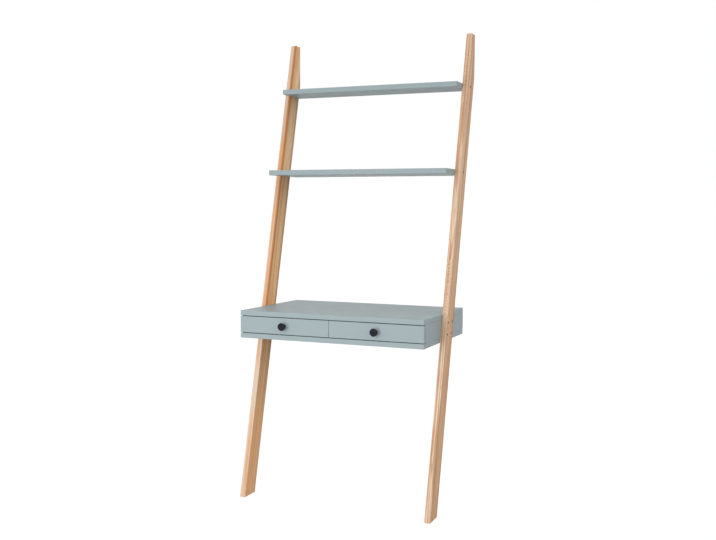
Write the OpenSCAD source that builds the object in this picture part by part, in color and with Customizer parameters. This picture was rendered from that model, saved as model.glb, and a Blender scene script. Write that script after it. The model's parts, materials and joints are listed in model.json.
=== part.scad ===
// Ladder desk: two leaning posts that rest on a wall and carry two shelves and
// a shallow desk box with two drawers on ball-bearing slides.
// Millimetres, +Z up. The front faces -Y and the wall is at +Y. The origin is on
// the floor, at the centre of the desk's footprint.

/* [Ladder frame] */
// Height of the posts
total_h = 1830; // [1500:10:2200]
// Clear width between the posts
inner_w = 750; // [600:5:1000]
// Lean of the posts from upright, in degrees
lean = 13.75; // [10:0.25:16]
// Thickness of a post, side to side
post_t = 22; // [20:1:40]
// Width of a post, front to back and square to its length
post_w = 80; // [70:1:110]
// Height of the upright cut that lies on the wall
wall_cut_h = 170; // [120:5:220]
// Radius of the eased long edges of a post
post_edge_r = 2; // [0.5:0.5:5]

/* [Desk box] */
// Height of the worktop above the floor
desk_top_z = 748; // [680:1:820]
// Depth of the desk box, front to back
desk_d = 480; // [400:5:600]
// Space between the desk box and the wall
desk_wall_gap = 34; // [0:1:60]
// Thickness of the top and bottom boards
board_t = 19; // [16:1:30]
// Clear height between the top and bottom boards
box_clear_h = 68; // [62:1:140]
// Thickness of the side panels, the divider and the back panel
panel_t = 18; // [16:1:24]
// Radius of the eased edges of the boards
board_edge_r = 1.5; // [0.5:0.5:4]
// Radius of the eased edges of the panels
panel_edge_r = 0.5; // [0.3:0.1:1]

/* [Shelves] */
// Thickness of a shelf
shelf_t = 20; // [16:1:30]
// Distance of the middle shelf below the upper one, top face to top face
mid_shelf_drop = 336; // [250:1:400]
// Depth of the middle shelf
mid_shelf_d = 248; // [200:1:320]
// Space between the middle shelf and the wall
mid_shelf_gap = 34; // [0:1:60]
// Distance of the upper shelf's top face below the top of the posts
up_shelf_drop = 198; // [80:1:300]
// Depth of the upper shelf
up_shelf_d = 155; // [120:1:240]
// Space between the upper shelf and the wall
up_shelf_gap = 5; // [0:1:30]

/* [Drawers] */
// Thickness of a drawer front
front_t = 18; // [15:1:24]
// Gap above and below a drawer front
front_gap = 2.5; // [1:0.5:4]
// Gap between the two drawer fronts
front_mid_gap = 1; // [1:0.5:5]
// Gap between a closed front and the edges of the desk box
front_rear_gap = 1; // [0.5:0.5:3]
// Thickness of the drawer sides, inner front and back
box_t = 12; // [12:1:15]
// Space above and below a drawer box
box_gap = 9; // [4:1:12]
// Space between a drawer box and the back panel
box_rear_gap = 34; // [5:1:60]
// Depth of the corner rabbets and of the grooves for the bottom
groove_d = 4; // [3:0.5:6]
// Thickness of the drawer bottom
bottom_t = 4; // [3:0.5:6]
// Height of the bottom's groove above the lower edge of the sides
bottom_lift = 7; // [5:1:9]
// Play of the bottom in its grooves
bottom_play = 0.3; // [0.1:0.1:0.5]

/* [Drawer slides] */
// Distance of a slide's rear end from the rear end of the drawer
slide_rear_gap = 8; // [4:1:60]
// Length of the rubber bumper behind a closed runner
bumper_len = 6; // [4:1:7]
// Length of a ball cage
cage_len = 109; // [60:1:160]
// Height of the rail
rail_h = 35; // [33:1:40]
// Space that a slide takes between the box and a drawer
slide_w = 12.7; // [12.5:0.1:14]
// Thickness of the slide's sheet steel
sheet_t = 1.2; // [1:0.1:1.4]
// Diameter of the bearing balls
ball_d = 3; // [2.5:0.1:3.8]
// Running clearance in the slide
slide_play = 0.3; // [0.3:0.05:0.5]
// Number of balls in one row
row_balls = 8; // [4:1:10]

/* [Knobs] */
// Diameter of a knob
knob_d = 30; // [24:1:40]
// How far a knob stands out
knob_len = 23; // [18:1:30]
// Diameter of the knob's neck
neck_d = 13; // [10:1:16]
// Radius of the knob's round rim
rim_r = 4; // [3:0.5:5]

/* [Fasteners] */
// Diameter of the bolt and screw heads sunk in the posts
head_d = 10; // [8:0.5:12]
// Height of those heads
head_h = 5; // [4:0.5:6]
// Diameter of the frame bolts and shelf screws
bolt_d = 6; // [5:1:8]
// Distance between the desk bolts, front to back
desk_bolt_dy = 47; // [36:1:50]
// Distance of the desk bolts from the top and bottom boards
desk_bolt_in = 12; // [8:1:20]
// Outer diameter of the threaded inserts
insert_d = 9; // [8.5:0.5:10]
// Length of the threaded inserts
insert_len = 13; // [10:1:14]
// How far the shelf screws reach into a shelf
shelf_screw_in = 42; // [30:1:50]
// Distance between the two dowels at a shelf end
shelf_dowel_dy = 48; // [36:1:50]
// Diameter of the dowels
dowel_d = 8; // [6:1:10]
// Length of the dowels
dowel_len = 28; // [20:1:30]
// Diameter of the bore for a wall stud
stud_bore_d = 8.2; // [6.2:0.1:10.2]
// Depth of the bore for a wall stud
stud_bore_len = 36; // [30:1:38]
// Distance of the stud bore below the top end
stud_drop = 17; // [14:1:25]
// Distance of the lock screw from the wall
lock_from_wall = 31; // [20:1:32]
// Diameter of the lock screw
lock_d = 6; // [4:1:6]

/* [Hidden] */
$fn = 48;
LEFT = -1;
RIGHT = 1;

// Finishes
wood = "#d9a679";
lacquer = "#aebbc0";
ply = "#d8c4a0";
beech = "#d9b98c";
black = "#22292d";
bronze = "#6b5138";
steel = "#b9bec2";
rubber = "#3a3b3c";

// Fits
tight = 0.05;  // between a fastener and its hole, on the radius
eps = 0.01;    // overlap of two shapes of one piece
cut = 1;       // how far a cutter runs past a face

// Frame
post_dy = post_w / cos(lean);
foot_reach = (total_h - wall_cut_h) * tan(lean) + post_dy;
desk_reach = desk_wall_gap + desk_d + knob_len;
wall_y = max(foot_reach, desk_reach) / 2;
foot_y = wall_y - foot_reach;
half_w = inner_w / 2;
post_x = half_w + post_t / 2;
up_shelf_z = total_h - up_shelf_drop;
mid_shelf_z = up_shelf_z - mid_shelf_drop;

// Desk box, from the wall forward and from the worktop down
desk_y1 = wall_y - desk_wall_gap;
desk_y0 = desk_y1 - desk_d;
clear_z1 = desk_top_z - board_t;
clear_z0 = clear_z1 - box_clear_h;
desk_bottom_z = clear_z0 - board_t;
clear_zc = (clear_z0 + clear_z1) / 2;
panel_y0 = desk_y0 + front_t + front_rear_gap;
back_y0 = desk_y1 - panel_t;

// Bays and the drawers in them
bay_w = half_w - panel_t * 3 / 2;
bay_x = panel_t / 2 + bay_w / 2;
box_w = bay_w - 2 * slide_w;
box_h = box_clear_h - 2 * box_gap;
box_y0 = desk_y0 + front_t;
box_y1 = back_y0 - box_rear_gap;
box_z0 = clear_zc - box_h / 2;
tongue_w = box_w - 2 * (box_t - groove_d);  // across the rabbets and grooves of the sides
bottom_z = box_z0 + bottom_lift;
front_w = half_w - front_mid_gap / 2;
front_x = half_w - front_w / 2;
front_h = box_clear_h - 2 * front_gap;

// Slides, along Y: the ball cage meets both stops when the drawer is fully out
slide_inset = 1;   // behind the front edges of the panels
stop_t = sheet_t;
slide_y0 = panel_y0 + slide_inset;
slide_len = box_y1 - slide_rear_gap - slide_y0;
travel = slide_len - cage_len - 2 * (stop_t + slide_play);
cage_y0 = slide_y0 + stop_t + slide_play + travel / 2;
slide_screw_in = 35;
slide_screw_at = [slide_screw_in, slide_len / 2, slide_len - slide_screw_in];
slot_in = 60;
slot_at = [slot_in, slide_len - slot_in];
bumper_y0 = slide_y0 + slide_len + slide_play;
rail_len = slide_len + slide_play + bumper_len;
slot_w = 4.4;
slot_len = 9;

// Slides, across: the balls run in the round corners of the rail and in a groove of the runner
race_r = ball_d / 2 + slide_play;
cage_t = 0.6;      // sheet of the cage
web_gap = 0.4;     // from the cage to the webs on both sides
lip = sheet_t + race_r;
rail_flange = 9.6; // width of the rail
ball_u = rail_flange - sheet_t - race_r;
ball_v = rail_h / 2 - sheet_t - race_r;
ball_hole_play = 0.1;
cage_edge = 0.5;   // from the cage's free edges to the lips of the rail
cage_u = sheet_t + web_gap;
cage_flange_u = rail_flange - sheet_t - cage_edge;
runner_u = cage_u + cage_t + web_gap;
runner_v = ball_v - cage_t / 2 - slide_play;
rail_stop_h = 12;
runner_stop_h = 16;
bumper_h = 18;
bumper_u = 8;      // how far the bumper stands out from the panel
bumper_r = 1.5;    // round of its corners
bumper_edge = 1;   // round the peg
bumper_peg_r = bumper_len / 2 - bumper_edge;

// Frame fasteners
head_sink = 0.5;     // from the post's face down to a head
socket_floor = 1.5;  // under a key socket
socket_w = 5;
lock_socket_w = 3;
end_gap = 1;         // past the point of a bolt or screw
desk_bolt_dz = box_clear_h - 2 * desk_bolt_in;
dowel_in = 42;       // from the ends and from the bolts
insert_r = insert_d / 2;
bolt_len = post_t - head_h + insert_len - end_gap;
shelf_screw_len = post_t - head_h + shelf_screw_in - end_gap;
stud_bore_z = total_h - stud_drop;

// Screws of the drawers and slides
screw_r = 1.75;
screw_head_r = 3.4;
screw_top_r = 2.4;   // top face of a pan head
pan_h = 1.8;
rail_screw_len = sheet_t + panel_t / 2 - end_gap;
side_screw_len = box_t;
front_screw_len = box_t + front_t * 2 / 3;
front_screw_dx = 200;
bottom_screw_in = 14;
bottom_screw_len = bottom_t + bottom_screw_in;
bottom_screw_dx = 160;
knob_screw_r = 2;
knob_screw_in = 14;
knob_screw_head_r = 4;
knob_screw_top_r = 2.8;
knob_screw_head_h = 2.2;

// Knob, by radius and by distance from the drawer front
neck_r = neck_d / 2;
head_y = knob_len - 2 * rim_r;
face_r = knob_d / 2 - rim_r;
collar = 2;          // width and height of the collar at the drawer front
throat_r = 3;        // round between the neck and the head
dish = 0.8;          // depth of the step inside the rim
dish_in = 0.5;
dish_y = knob_len - dish;
dimple_r = 4.5;
dimple = 2.3;        // depth of the dimple below the dish
bead_w = 3;          // width of the raised ring between the dimple and the rim
bead_h = 0.45;

// Front edge of a post at height z, and the middle of its width
function post_front(z) = foot_y + z * tan(lean);
function post_mid(z) = post_front(z) + post_dy / 2;

// Rectangle with round corners, from the origin
module eased_rect(a, b, r) {
  translate([r, 0]) square([a - 2 * r, b]);
  translate([0, r]) square([a, b - 2 * r]);
  for (x = [r, a - r], y = [r, b - r]) translate([x, y]) circle(r = r);
}

// Cylinder along X from x0 to x1
module bar_x(x0, x1, y, z, r) {
  translate([min(x0, x1), y, z]) rotate([0, 90, 0]) cylinder(h = abs(x1 - x0), r = r);
}

// Cylinder along Y from y0 to y1
module bar_y(x, y0, y1, z, r) {
  translate([x, y1, z]) rotate([90, 0, 0]) cylinder(h = y1 - y0, r = r);
}

// Hexagonal key socket along X, from a face at x0 towards x1
module hex_x(x0, x1, y, z, across) {
  translate([min(x0, x1), y, z]) rotate([0, 90, 0]) cylinder(h = abs(x1 - x0), r = across / sqrt(3), $fn = 6);
}

// Board between two corners with all its edges eased
module eased_board(a, b, r) {
  d = b - a;
  intersection() {
    translate(a) rotate([90, 0, 90]) linear_extrude(height = d.x) eased_rect(d.y, d.z, r);
    translate([a.x, b.y, a.z]) rotate([90, 0, 0]) linear_extrude(height = d.y) eased_rect(d.x, d.z, r);
    translate(a) linear_extrude(height = d.z) eased_rect(d.x, d.y, r);
  }
}

// Block between two corners
module block(a, b) {
  translate(a) cube(b - a);
}

// ---- Where the fasteners go ----

// Places of the desk bolts on the +X post: [y, z]
desk_bolt_at = [
  for (dz = [-desk_bolt_dz / 2, desk_bolt_dz / 2], dy = [-desk_bolt_dy / 2, desk_bolt_dy / 2])
    [post_mid(clear_zc + dz) + dy, clear_zc + dz]
];
// Middle heights of the two shelves
shelf_zc = [mid_shelf_z - shelf_t / 2, up_shelf_z - shelf_t / 2];
// Dowels of the desk box: [x, y] under the top board and over the bottom board, clear of the bolts
dowel_rows = [panel_y0 + dowel_in, post_mid(clear_zc) - desk_bolt_dy / 2 - dowel_in, back_y0 - dowel_in];
box_dowel_at = [
  for (x = [-half_w + panel_t / 2, 0, half_w - panel_t / 2], y = dowel_rows) [x, y],
  for (x = [-bay_x, bay_x]) [x, desk_y1 - panel_t / 2]
];

module both_sides() {
  children();
  mirror([1, 0, 0]) children();
}

// Every hole of the desk box dowels
module box_dowel_holes() {
  for (p = box_dowel_at, z = [clear_z0, clear_z1])
    translate([p.x, p.y, z - dowel_len / 2 - eps]) cylinder(h = dowel_len + 2 * eps, r = dowel_d / 2 + tight);
}

// Every hole of the shelf dowels, at the +X end
module shelf_dowel_holes() {
  reach = dowel_len / 2 + eps;
  for (z = shelf_zc, dy = [-shelf_dowel_dy / 2, shelf_dowel_dy / 2])
    bar_x(half_w - reach, half_w + reach, post_mid(z) + dy, z, dowel_d / 2 + tight);
}

// Sunk head and shank hole of a frame fastener in the +X post
module sunk_hole(y, z) {
  bar_x(half_w - cut, half_w + post_t + cut, y, z, bolt_d / 2 + tight);
  bar_x(half_w + post_t - head_h, half_w + post_t + cut, y, z, head_d / 2 + tight);
}

// ---- Ladder frame ----

module post_blank() {
  intersection() {
    translate([half_w, foot_y, 0]) rotate([-lean, 0, 0])
      translate([0, 0, -post_w]) linear_extrude(height = total_h / cos(lean) + 2 * post_w)
        eased_rect(post_t, post_w, post_edge_r);
    translate([half_w - cut, 0, 0]) rotate([90, 0, 90]) linear_extrude(height = post_t + 2 * cut)
      polygon([
        [post_front(0) - cut, 0], [post_front(0) + post_dy + cut, 0],
        [wall_y, total_h - wall_cut_h], [wall_y, total_h],
        [post_front(total_h) - cut, total_h]
      ]);
  }
}

module post() {
  color(wood) difference() {
    post_blank();
    for (p = desk_bolt_at) sunk_hole(p.x, p.y);
    for (z = shelf_zc) sunk_hole(post_mid(z), z);
    shelf_dowel_holes();
    bar_y(post_x, wall_y - stud_bore_len, wall_y + cut, stud_bore_z, stud_bore_d / 2);
    bar_x(post_x, half_w + post_t + cut, wall_y - lock_from_wall, stud_bore_z, lock_d / 2 + tight);
  }
}

module left_post() {
  mirror([1, 0, 0]) post();
}

module right_post() {
  post();
}

module shelf(z1, d, gap) {
  z = z1 - shelf_t / 2;
  color(lacquer) difference() {
    eased_board([-half_w, wall_y - gap - d, z1 - shelf_t], [half_w, wall_y - gap, z1], board_edge_r);
    both_sides() {
      shelf_dowel_holes();
      bar_x(half_w - shelf_screw_in - eps, half_w + cut, post_mid(z), z, bolt_d / 2 + tight);
    }
  }
}

module middle_shelf() {
  shelf(mid_shelf_z, mid_shelf_d, mid_shelf_gap);
}

module upper_shelf() {
  shelf(up_shelf_z, up_shelf_d, up_shelf_gap);
}

// ---- Desk box ----

module desk_top() {
  color(lacquer) difference() {
    eased_board([-half_w, desk_y0, clear_z1], [half_w, desk_y1, desk_top_z], board_edge_r);
    box_dowel_holes();
  }
}

module desk_bottom() {
  color(lacquer) difference() {
    eased_board([-half_w, desk_y0, desk_bottom_z], [half_w, desk_y1, clear_z0], board_edge_r);
    box_dowel_holes();
  }
}

module side_panel() {
  color(lacquer) difference() {
    eased_board([half_w - panel_t, panel_y0, clear_z0], [half_w, desk_y1, clear_z1], panel_edge_r);
    box_dowel_holes();
    for (p = desk_bolt_at) bar_x(half_w - insert_len, half_w + cut, p.x, p.y, insert_r + tight);
    bay_screw_holes(RIGHT);
  }
}

module left_side_panel() {
  mirror([1, 0, 0]) side_panel();
}

module right_side_panel() {
  side_panel();
}

module back_panel() {
  color(lacquer) difference() {
    eased_board([-half_w + panel_t, back_y0, clear_z0], [half_w - panel_t, desk_y1, clear_z1], panel_edge_r);
    box_dowel_holes();
  }
}

module centre_divider() {
  color(lacquer) difference() {
    eased_board([-panel_t / 2, panel_y0, clear_z0], [panel_t / 2, back_y0, clear_z1], panel_edge_r);
    box_dowel_holes();
    bay_screw_holes(LEFT);
    bay_screw_holes(RIGHT);
  }
}

module box_dowels() {
  color(beech) for (p = box_dowel_at, z = [clear_z0, clear_z1])
    translate([p.x, p.y, z - dowel_len / 2]) cylinder(h = dowel_len, r = dowel_d / 2);
}

// ---- Frame fasteners ----

// Socket-head bolt or screw along X, its head flush with the outer face of the +X post
module sunk_fastener(len, y, z) {
  x1 = half_w + post_t;
  difference() {
    union() {
      bar_x(x1 - head_h, x1 - head_sink, y, z, head_d / 2);
      bar_x(x1 - head_h - len, x1 - head_h + eps, y, z, bolt_d / 2);
    }
    hex_x(x1 - head_h + socket_floor, x1 + cut, y, z, socket_w);
  }
}

module desk_bolts() {
  color(bronze) both_sides() for (p = desk_bolt_at) sunk_fastener(bolt_len, p.x, p.y);
}

module desk_inserts() {
  color(steel) both_sides() for (p = desk_bolt_at) difference() {
    bar_x(half_w - insert_len, half_w, p.x, p.y, insert_r);
    bar_x(half_w - insert_len - cut, half_w + cut, p.x, p.y, bolt_d / 2 + tight);
  }
}

module shelf_screws() {
  color(bronze) both_sides() for (z = shelf_zc) sunk_fastener(shelf_screw_len, post_mid(z), z);
}

module shelf_dowels() {
  color(beech) both_sides() for (z = shelf_zc, dy = [-shelf_dowel_dy / 2, shelf_dowel_dy / 2])
    bar_x(half_w - dowel_len / 2, half_w + dowel_len / 2, post_mid(z) + dy, z, dowel_d / 2);
}

module wall_lock_screws() {
  x0 = post_x + stud_bore_d / 2 + slide_play;
  x1 = half_w + post_t - head_sink;
  y = wall_y - lock_from_wall;
  color(bronze) both_sides() difference() {
    bar_x(x0, x1, y, stud_bore_z, lock_d / 2);
    hex_x(x1 - lock_socket_w, x1 + cut, y, stud_bore_z, lock_socket_w);
  }
}

// ---- Drawer slides ----
// A slide's own section has u across, from the panel towards the drawer, and v up.

// Places its children at both slides of a drawer's bay, u = 0 on the panel
module at_slides(side) {
  for (s = [-1, 1])
    translate([side * bay_x + s * bay_w / 2, 0, clear_zc]) mirror([s > 0 ? 1 : 0, 0, 0]) children();
}

// Extrudes a section from y0 to y0 + len
module along_slide(y0, len) {
  translate([0, y0 + len, 0]) rotate([90, 0, 0]) linear_extrude(height = len) children();
}

// Pilot holes for the rail screws of one bay
module bay_screw_holes(side) {
  at_slides(side) for (y = slide_screw_at) rail_screw(slide_y0 + y, tight);
}

module rail_section() {
  difference() {
    translate([0, -rail_h / 2]) eased_rect(rail_flange, rail_h, race_r + sheet_t);
    translate([sheet_t, sheet_t - rail_h / 2])
      eased_rect(rail_flange - 2 * sheet_t, rail_h - 2 * sheet_t, race_r);
    translate([ball_u, lip - rail_h / 2]) square([rail_flange, rail_h - 2 * lip]);
  }
}

module runner_section() {
  difference() {
    intersection() {
      translate([runner_u, -runner_v]) square([slide_w - runner_u, 2 * runner_v]);
      union() {
        translate([slide_w - sheet_t, -runner_v]) square([sheet_t, 2 * runner_v]);
        for (v = [-runner_v, runner_v - sheet_t])
          translate([runner_u, v]) square([slide_w - runner_u, sheet_t]);
        for (v = [-ball_v, ball_v]) translate([ball_u, v]) circle(r = race_r + sheet_t);
      }
    }
    for (v = [-ball_v, ball_v]) translate([ball_u, v]) circle(r = race_r);
  }
}

// Oval slot through a web between u0 and u1, dy longer along the slide and dv longer across it
module slot_hole(u0, u1, y, dy, dv) {
  translate([u0 - cut, y, 0]) rotate([90, 0, 90]) linear_extrude(height = u1 - u0 + 2 * cut) {
    square([dy + (dv > 0 ? slot_w : 0), dv + (dy > 0 ? slot_w : 0)], center = true);
    for (s = [-1, 1]) translate([s * dy / 2, s * dv / 2]) circle(r = slot_w / 2);
  }
}

// Countersunk rail screw along X: its head is flush at u = sheet_t, its point towards the panel.
// grow widens it into the space that it needs in the rail and the panel.
module rail_screw(y, grow = 0) {
  sunk = screw_head_r - screw_r;
  translate([sheet_t, y, 0]) rotate([0, -90, 0]) {
    cylinder(h = rail_screw_len, r = screw_r + grow);
    cylinder(h = sunk, r1 = screw_head_r + grow, r2 = screw_r + grow);
  }
}

module rail() {
  difference() {
    union() {
      along_slide(slide_y0, rail_len) rail_section();
      block([sheet_t - eps, slide_y0, -rail_stop_h / 2], [runner_u, slide_y0 + stop_t, rail_stop_h / 2]);
    }
    for (y = slide_screw_at) rail_screw(slide_y0 + y, tight);
    for (y = slot_at) slot_hole(0, sheet_t, slide_y0 + y, slot_len - slot_w, 0);
    bar_x(-cut, sheet_t + cut, bumper_y0 + bumper_len / 2, 0, bumper_peg_r + tight);
  }
}

module rails(side) {
  color(steel) at_slides(side) rail();
}

module rail_screws() {
  color(steel) for (side = [LEFT, RIGHT]) at_slides(side)
    for (y = slide_screw_at) rail_screw(slide_y0 + y);
}

// Rubber bumpers at the rear ends of the rails, each held by a peg in the web
module slide_bumpers() {
  color(rubber) for (side = [LEFT, RIGHT]) at_slides(side) {
    translate([sheet_t, bumper_y0, -bumper_h / 2]) rotate([90, 0, 90])
      linear_extrude(height = bumper_u - sheet_t) eased_rect(bumper_len, bumper_h, bumper_r);
    bar_x(tight, sheet_t + eps, bumper_y0 + bumper_len / 2, 0, bumper_peg_r);
  }
}

// Places its children at each ball of a slide
module at_balls() {
  pitch = cage_len / row_balls;
  for (i = [0 : row_balls - 1], v = [-ball_v, ball_v])
    translate([ball_u, cage_y0 + (i + 0.5) * pitch, v]) children();
}

module ball_cage() {
  difference() {
    along_slide(cage_y0, cage_len) {
      translate([cage_u, -ball_v]) square([cage_t, 2 * ball_v]);
      for (v = [-ball_v, ball_v])
        translate([cage_u, v - cage_t / 2]) square([cage_flange_u - cage_u, cage_t]);
    }
    at_balls() cylinder(h = cage_t + 2 * cut, r = ball_d / 2 + ball_hole_play, center = true);
  }
}

module ball_cages(side) {
  color(steel) at_slides(side) ball_cage();
}

module balls(side) {
  color(steel) at_slides(side) at_balls() sphere(r = ball_d / 2);
}

// Runner with its rear stop, which meets the ball cage when the drawer is out
module runner() {
  stop_y0 = slide_y0 + slide_len - stop_t;
  difference() {
    union() {
      along_slide(slide_y0, slide_len) runner_section();
      block([cage_u, stop_y0, -runner_stop_h / 2], [slide_w - eps, stop_y0 + stop_t, runner_stop_h / 2]);
    }
    for (y = slide_screw_at)
      bar_x(slide_w - sheet_t - cut, slide_w + cut, slide_y0 + y, 0, screw_r + tight);
    for (y = slot_at) slot_hole(slide_w - sheet_t, slide_w, slide_y0 + y, 0, slot_len - slot_w);
  }
}

module runners(side) {
  color(steel) at_slides(side) runner();
}

// ---- Drawers ----

module drawer_front(side) {
  color(lacquer) difference() {
    translate([side * front_x, 0, clear_zc])
      eased_board([-front_w / 2, desk_y0, -front_h / 2], [front_w / 2, box_y0, front_h / 2], board_edge_r);
    bar_y(side * front_x, desk_y0 - cut, box_y0 + cut, clear_zc, knob_screw_r + tight);
    front_screw_holes(side);
  }
}

// Holes of the screws that hold the front to the inner front
module front_screw_holes(side) {
  y1 = box_y0 + box_t;
  for (dx = [-front_screw_dx / 2, front_screw_dx / 2])
    bar_y(side * bay_x + dx, y1 - front_screw_len - eps, y1 + cut, clear_zc, screw_r + tight);
}

// Space of the drawer bottom with its grooves, open at the rear
module bottom_groove(side) {
  block([side * bay_x - tongue_w / 2, box_y0 + box_t - groove_d, bottom_z],
        [side * bay_x + tongue_w / 2, box_y1 + cut, bottom_z + bottom_t]);
}

module inner_front(side) {
  color(ply) difference() {
    block([side * bay_x - tongue_w / 2, box_y0, box_z0],
          [side * bay_x + tongue_w / 2, box_y0 + box_t, box_z0 + box_h]);
    bottom_groove(side);
    bar_y(side * front_x, box_y0 - cut, box_y0 + box_t + cut, clear_zc, knob_screw_r + tight);
    front_screw_holes(side);
  }
}

// Drawer side on the s side of its drawer, rabbeted at both ends and grooved for the bottom
module drawer_side(side, s) {
  color(ply) difference() {
    translate([side * bay_x + s * (box_w - box_t) / 2, 0, 0])
      block([-box_t / 2, box_y0, box_z0], [box_t / 2, box_y1, box_z0 + box_h]);
    for (y = [[box_y0 - cut, box_y0 + box_t], [box_y1 - box_t, box_y1 + cut]])
      block([side * bay_x - tongue_w / 2, y[0], box_z0 - cut],
            [side * bay_x + tongue_w / 2, y[1], box_z0 + box_h + cut]);
    bottom_groove(side);
    at_slides(side) for (y = slide_screw_at)
      bar_x(slide_w - cut, slide_w - sheet_t + side_screw_len, slide_y0 + y, 0, screw_r + tight);
  }
}

// The back stands on the bottom, which runs out under it
module drawer_back(side) {
  color(ply) difference() {
    block([side * bay_x - tongue_w / 2, box_y1 - box_t, bottom_z + bottom_t],
          [side * bay_x + tongue_w / 2, box_y1, box_z0 + box_h]);
    at_bottom_screws(side) bottom_screw_hole();
  }
}

module drawer_bottom(side) {
  half = tongue_w / 2 - bottom_play;
  color(ply) difference() {
    block([side * bay_x - half, box_y0 + box_t - groove_d + bottom_play, bottom_z],
          [side * bay_x + half, box_y1, bottom_z + bottom_t]);
    at_bottom_screws(side) bottom_screw_hole();
  }
}

// Places its children under the back, on the lower face of the bottom
module at_bottom_screws(side) {
  for (dx = [-bottom_screw_dx / 2, bottom_screw_dx / 2])
    translate([side * bay_x + dx, box_y1 - box_t / 2, bottom_z]) children();
}

module bottom_screw_hole() {
  translate([0, 0, -cut]) cylinder(h = bottom_screw_len + cut + eps, r = screw_r + tight);
}

// Pan-head screws up through the bottom into the back
module bottom_screws(side) {
  color(steel) at_bottom_screws(side) {
    cylinder(h = bottom_screw_len, r = screw_r);
    translate([0, 0, -pan_h]) cylinder(h = pan_h, r1 = screw_top_r, r2 = screw_head_r);
  }
}

// Pan-head screws from inside the runners into the drawer sides
module runner_screws(side) {
  color(steel) at_slides(side) for (y = slide_screw_at)
    translate([slide_w - sheet_t, slide_y0 + y, 0]) rotate([0, 90, 0]) {
      cylinder(h = side_screw_len - end_gap, r = screw_r);
      translate([0, 0, -pan_h]) cylinder(h = pan_h, r1 = screw_top_r, r2 = screw_head_r);
    }
}

module front_screws(side) {
  y1 = box_y0 + box_t;
  color(steel) for (dx = [-front_screw_dx / 2, front_screw_dx / 2]) translate([side * bay_x + dx, 0, 0]) {
    bar_y(0, y1 - front_screw_len, y1, clear_zc, screw_r);
    translate([0, y1, clear_zc]) rotate([-90, 0, 0]) cylinder(h = pan_h, r1 = screw_head_r, r2 = screw_top_r);
  }
}

// ---- Knobs ----

// A knob's half sections have the radius along x and the distance from the drawer front along y

// Collar, neck and round-rimmed head
module knob_outline() {
  square([neck_r, head_y + rim_r]);
  square([neck_r + collar, collar]);
  translate([0, head_y]) square([face_r, 2 * rim_r]);
  translate([face_r, head_y + rim_r]) circle(r = rim_r);
  difference() {
    translate([neck_r - eps, head_y - throat_r]) square([throat_r, throat_r + eps]);
    translate([neck_r + throat_r, head_y - throat_r]) circle(r = throat_r);
  }
}

// Raised ring halfway between the dimple and the rim
module knob_bead() {
  bead_r = (pow(bead_w / 2, 2) + pow(bead_h, 2)) / (2 * bead_h);
  dimple_edge = sqrt(pow(dimple_r, 2) - pow(dimple_r - dimple, 2));
  translate([(dimple_edge + face_r - dish_in) / 2, dish_y + bead_h - bead_r]) circle(r = bead_r);
}

module knob_section() {
  difference() {
    union() {
      difference() {
        knob_outline();
        translate([0, dish_y]) square([face_r - dish_in, dish + cut]);
      }
      knob_bead();
    }
    translate([0, dish_y - dimple + dimple_r]) circle(r = dimple_r);
    // blind hole for the screw
    translate([0, -cut]) square([knob_screw_r + tight, knob_screw_in + cut]);
    translate([-knob_d, -cut]) square([knob_d, knob_len + 2 * cut]);
  }
}

module knob(side) {
  color(black) translate([side * front_x, desk_y0, clear_zc]) rotate([90, 0, 0])
    rotate_extrude() knob_section();
}

module knob_screw(side) {
  y1 = box_y0 + box_t;
  color(steel) translate([side * front_x, 0, 0]) {
    bar_y(0, desk_y0 - knob_screw_in + end_gap, y1, clear_zc, knob_screw_r);
    translate([0, y1, clear_zc]) rotate([-90, 0, 0])
      cylinder(h = knob_screw_head_h, r1 = knob_screw_head_r, r2 = knob_screw_top_r);
  }
}

// ---- The model ----

left_post();
right_post();
upper_shelf();
middle_shelf();
desk_top();
desk_bottom();
left_side_panel();
right_side_panel();
back_panel();
centre_divider();
box_dowels();
desk_bolts();
desk_inserts();
shelf_screws();
shelf_dowels();
wall_lock_screws();
rails(LEFT);  // left_rails
rails(RIGHT);  // right_rails
rail_screws();
slide_bumpers();
ball_cages(LEFT);  // left_ball_cages
ball_cages(RIGHT);  // right_ball_cages
balls(LEFT);  // left_balls
balls(RIGHT);  // right_balls
drawer_front(LEFT);  // left_drawer_front
inner_front(LEFT);  // left_inner_front
drawer_side(LEFT, LEFT);  // left_drawer_outer_side
drawer_side(LEFT, RIGHT);  // left_drawer_inner_side
drawer_back(LEFT);  // left_drawer_back
drawer_bottom(LEFT);  // left_drawer_bottom
runners(LEFT);  // left_runners
runner_screws(LEFT);  // left_runner_screws
front_screws(LEFT);  // left_front_screws
bottom_screws(LEFT);  // left_bottom_screws
knob(LEFT);  // left_knob
knob_screw(LEFT);  // left_knob_screw
drawer_front(RIGHT);  // right_drawer_front
inner_front(RIGHT);  // right_inner_front
drawer_side(RIGHT, RIGHT);  // right_drawer_outer_side
drawer_side(RIGHT, LEFT);  // right_drawer_inner_side
drawer_back(RIGHT);  // right_drawer_back
drawer_bottom(RIGHT);  // right_drawer_bottom
runners(RIGHT);  // right_runners
runner_screws(RIGHT);  // right_runner_screws
front_screws(RIGHT);  // right_front_screws
bottom_screws(RIGHT);  // right_bottom_screws
knob(RIGHT);  // right_knob
knob_screw(RIGHT);  // right_knob_screw
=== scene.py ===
"""Looks of a leaning ladder desk: ash posts, satin lacquered boards and two drawers on ball slides.

Metres, +Z up. The front faces -Y and the wall is at +Y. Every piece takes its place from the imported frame.
"""

import json
import logging
import math
from abc import ABC, abstractmethod
from dataclasses import dataclass, field
from enum import Enum
from typing import ClassVar, Iterator, Mapping, Sequence, Union

import bmesh
import bpy
import numpy as np
from mathutils import Matrix, Vector

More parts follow.
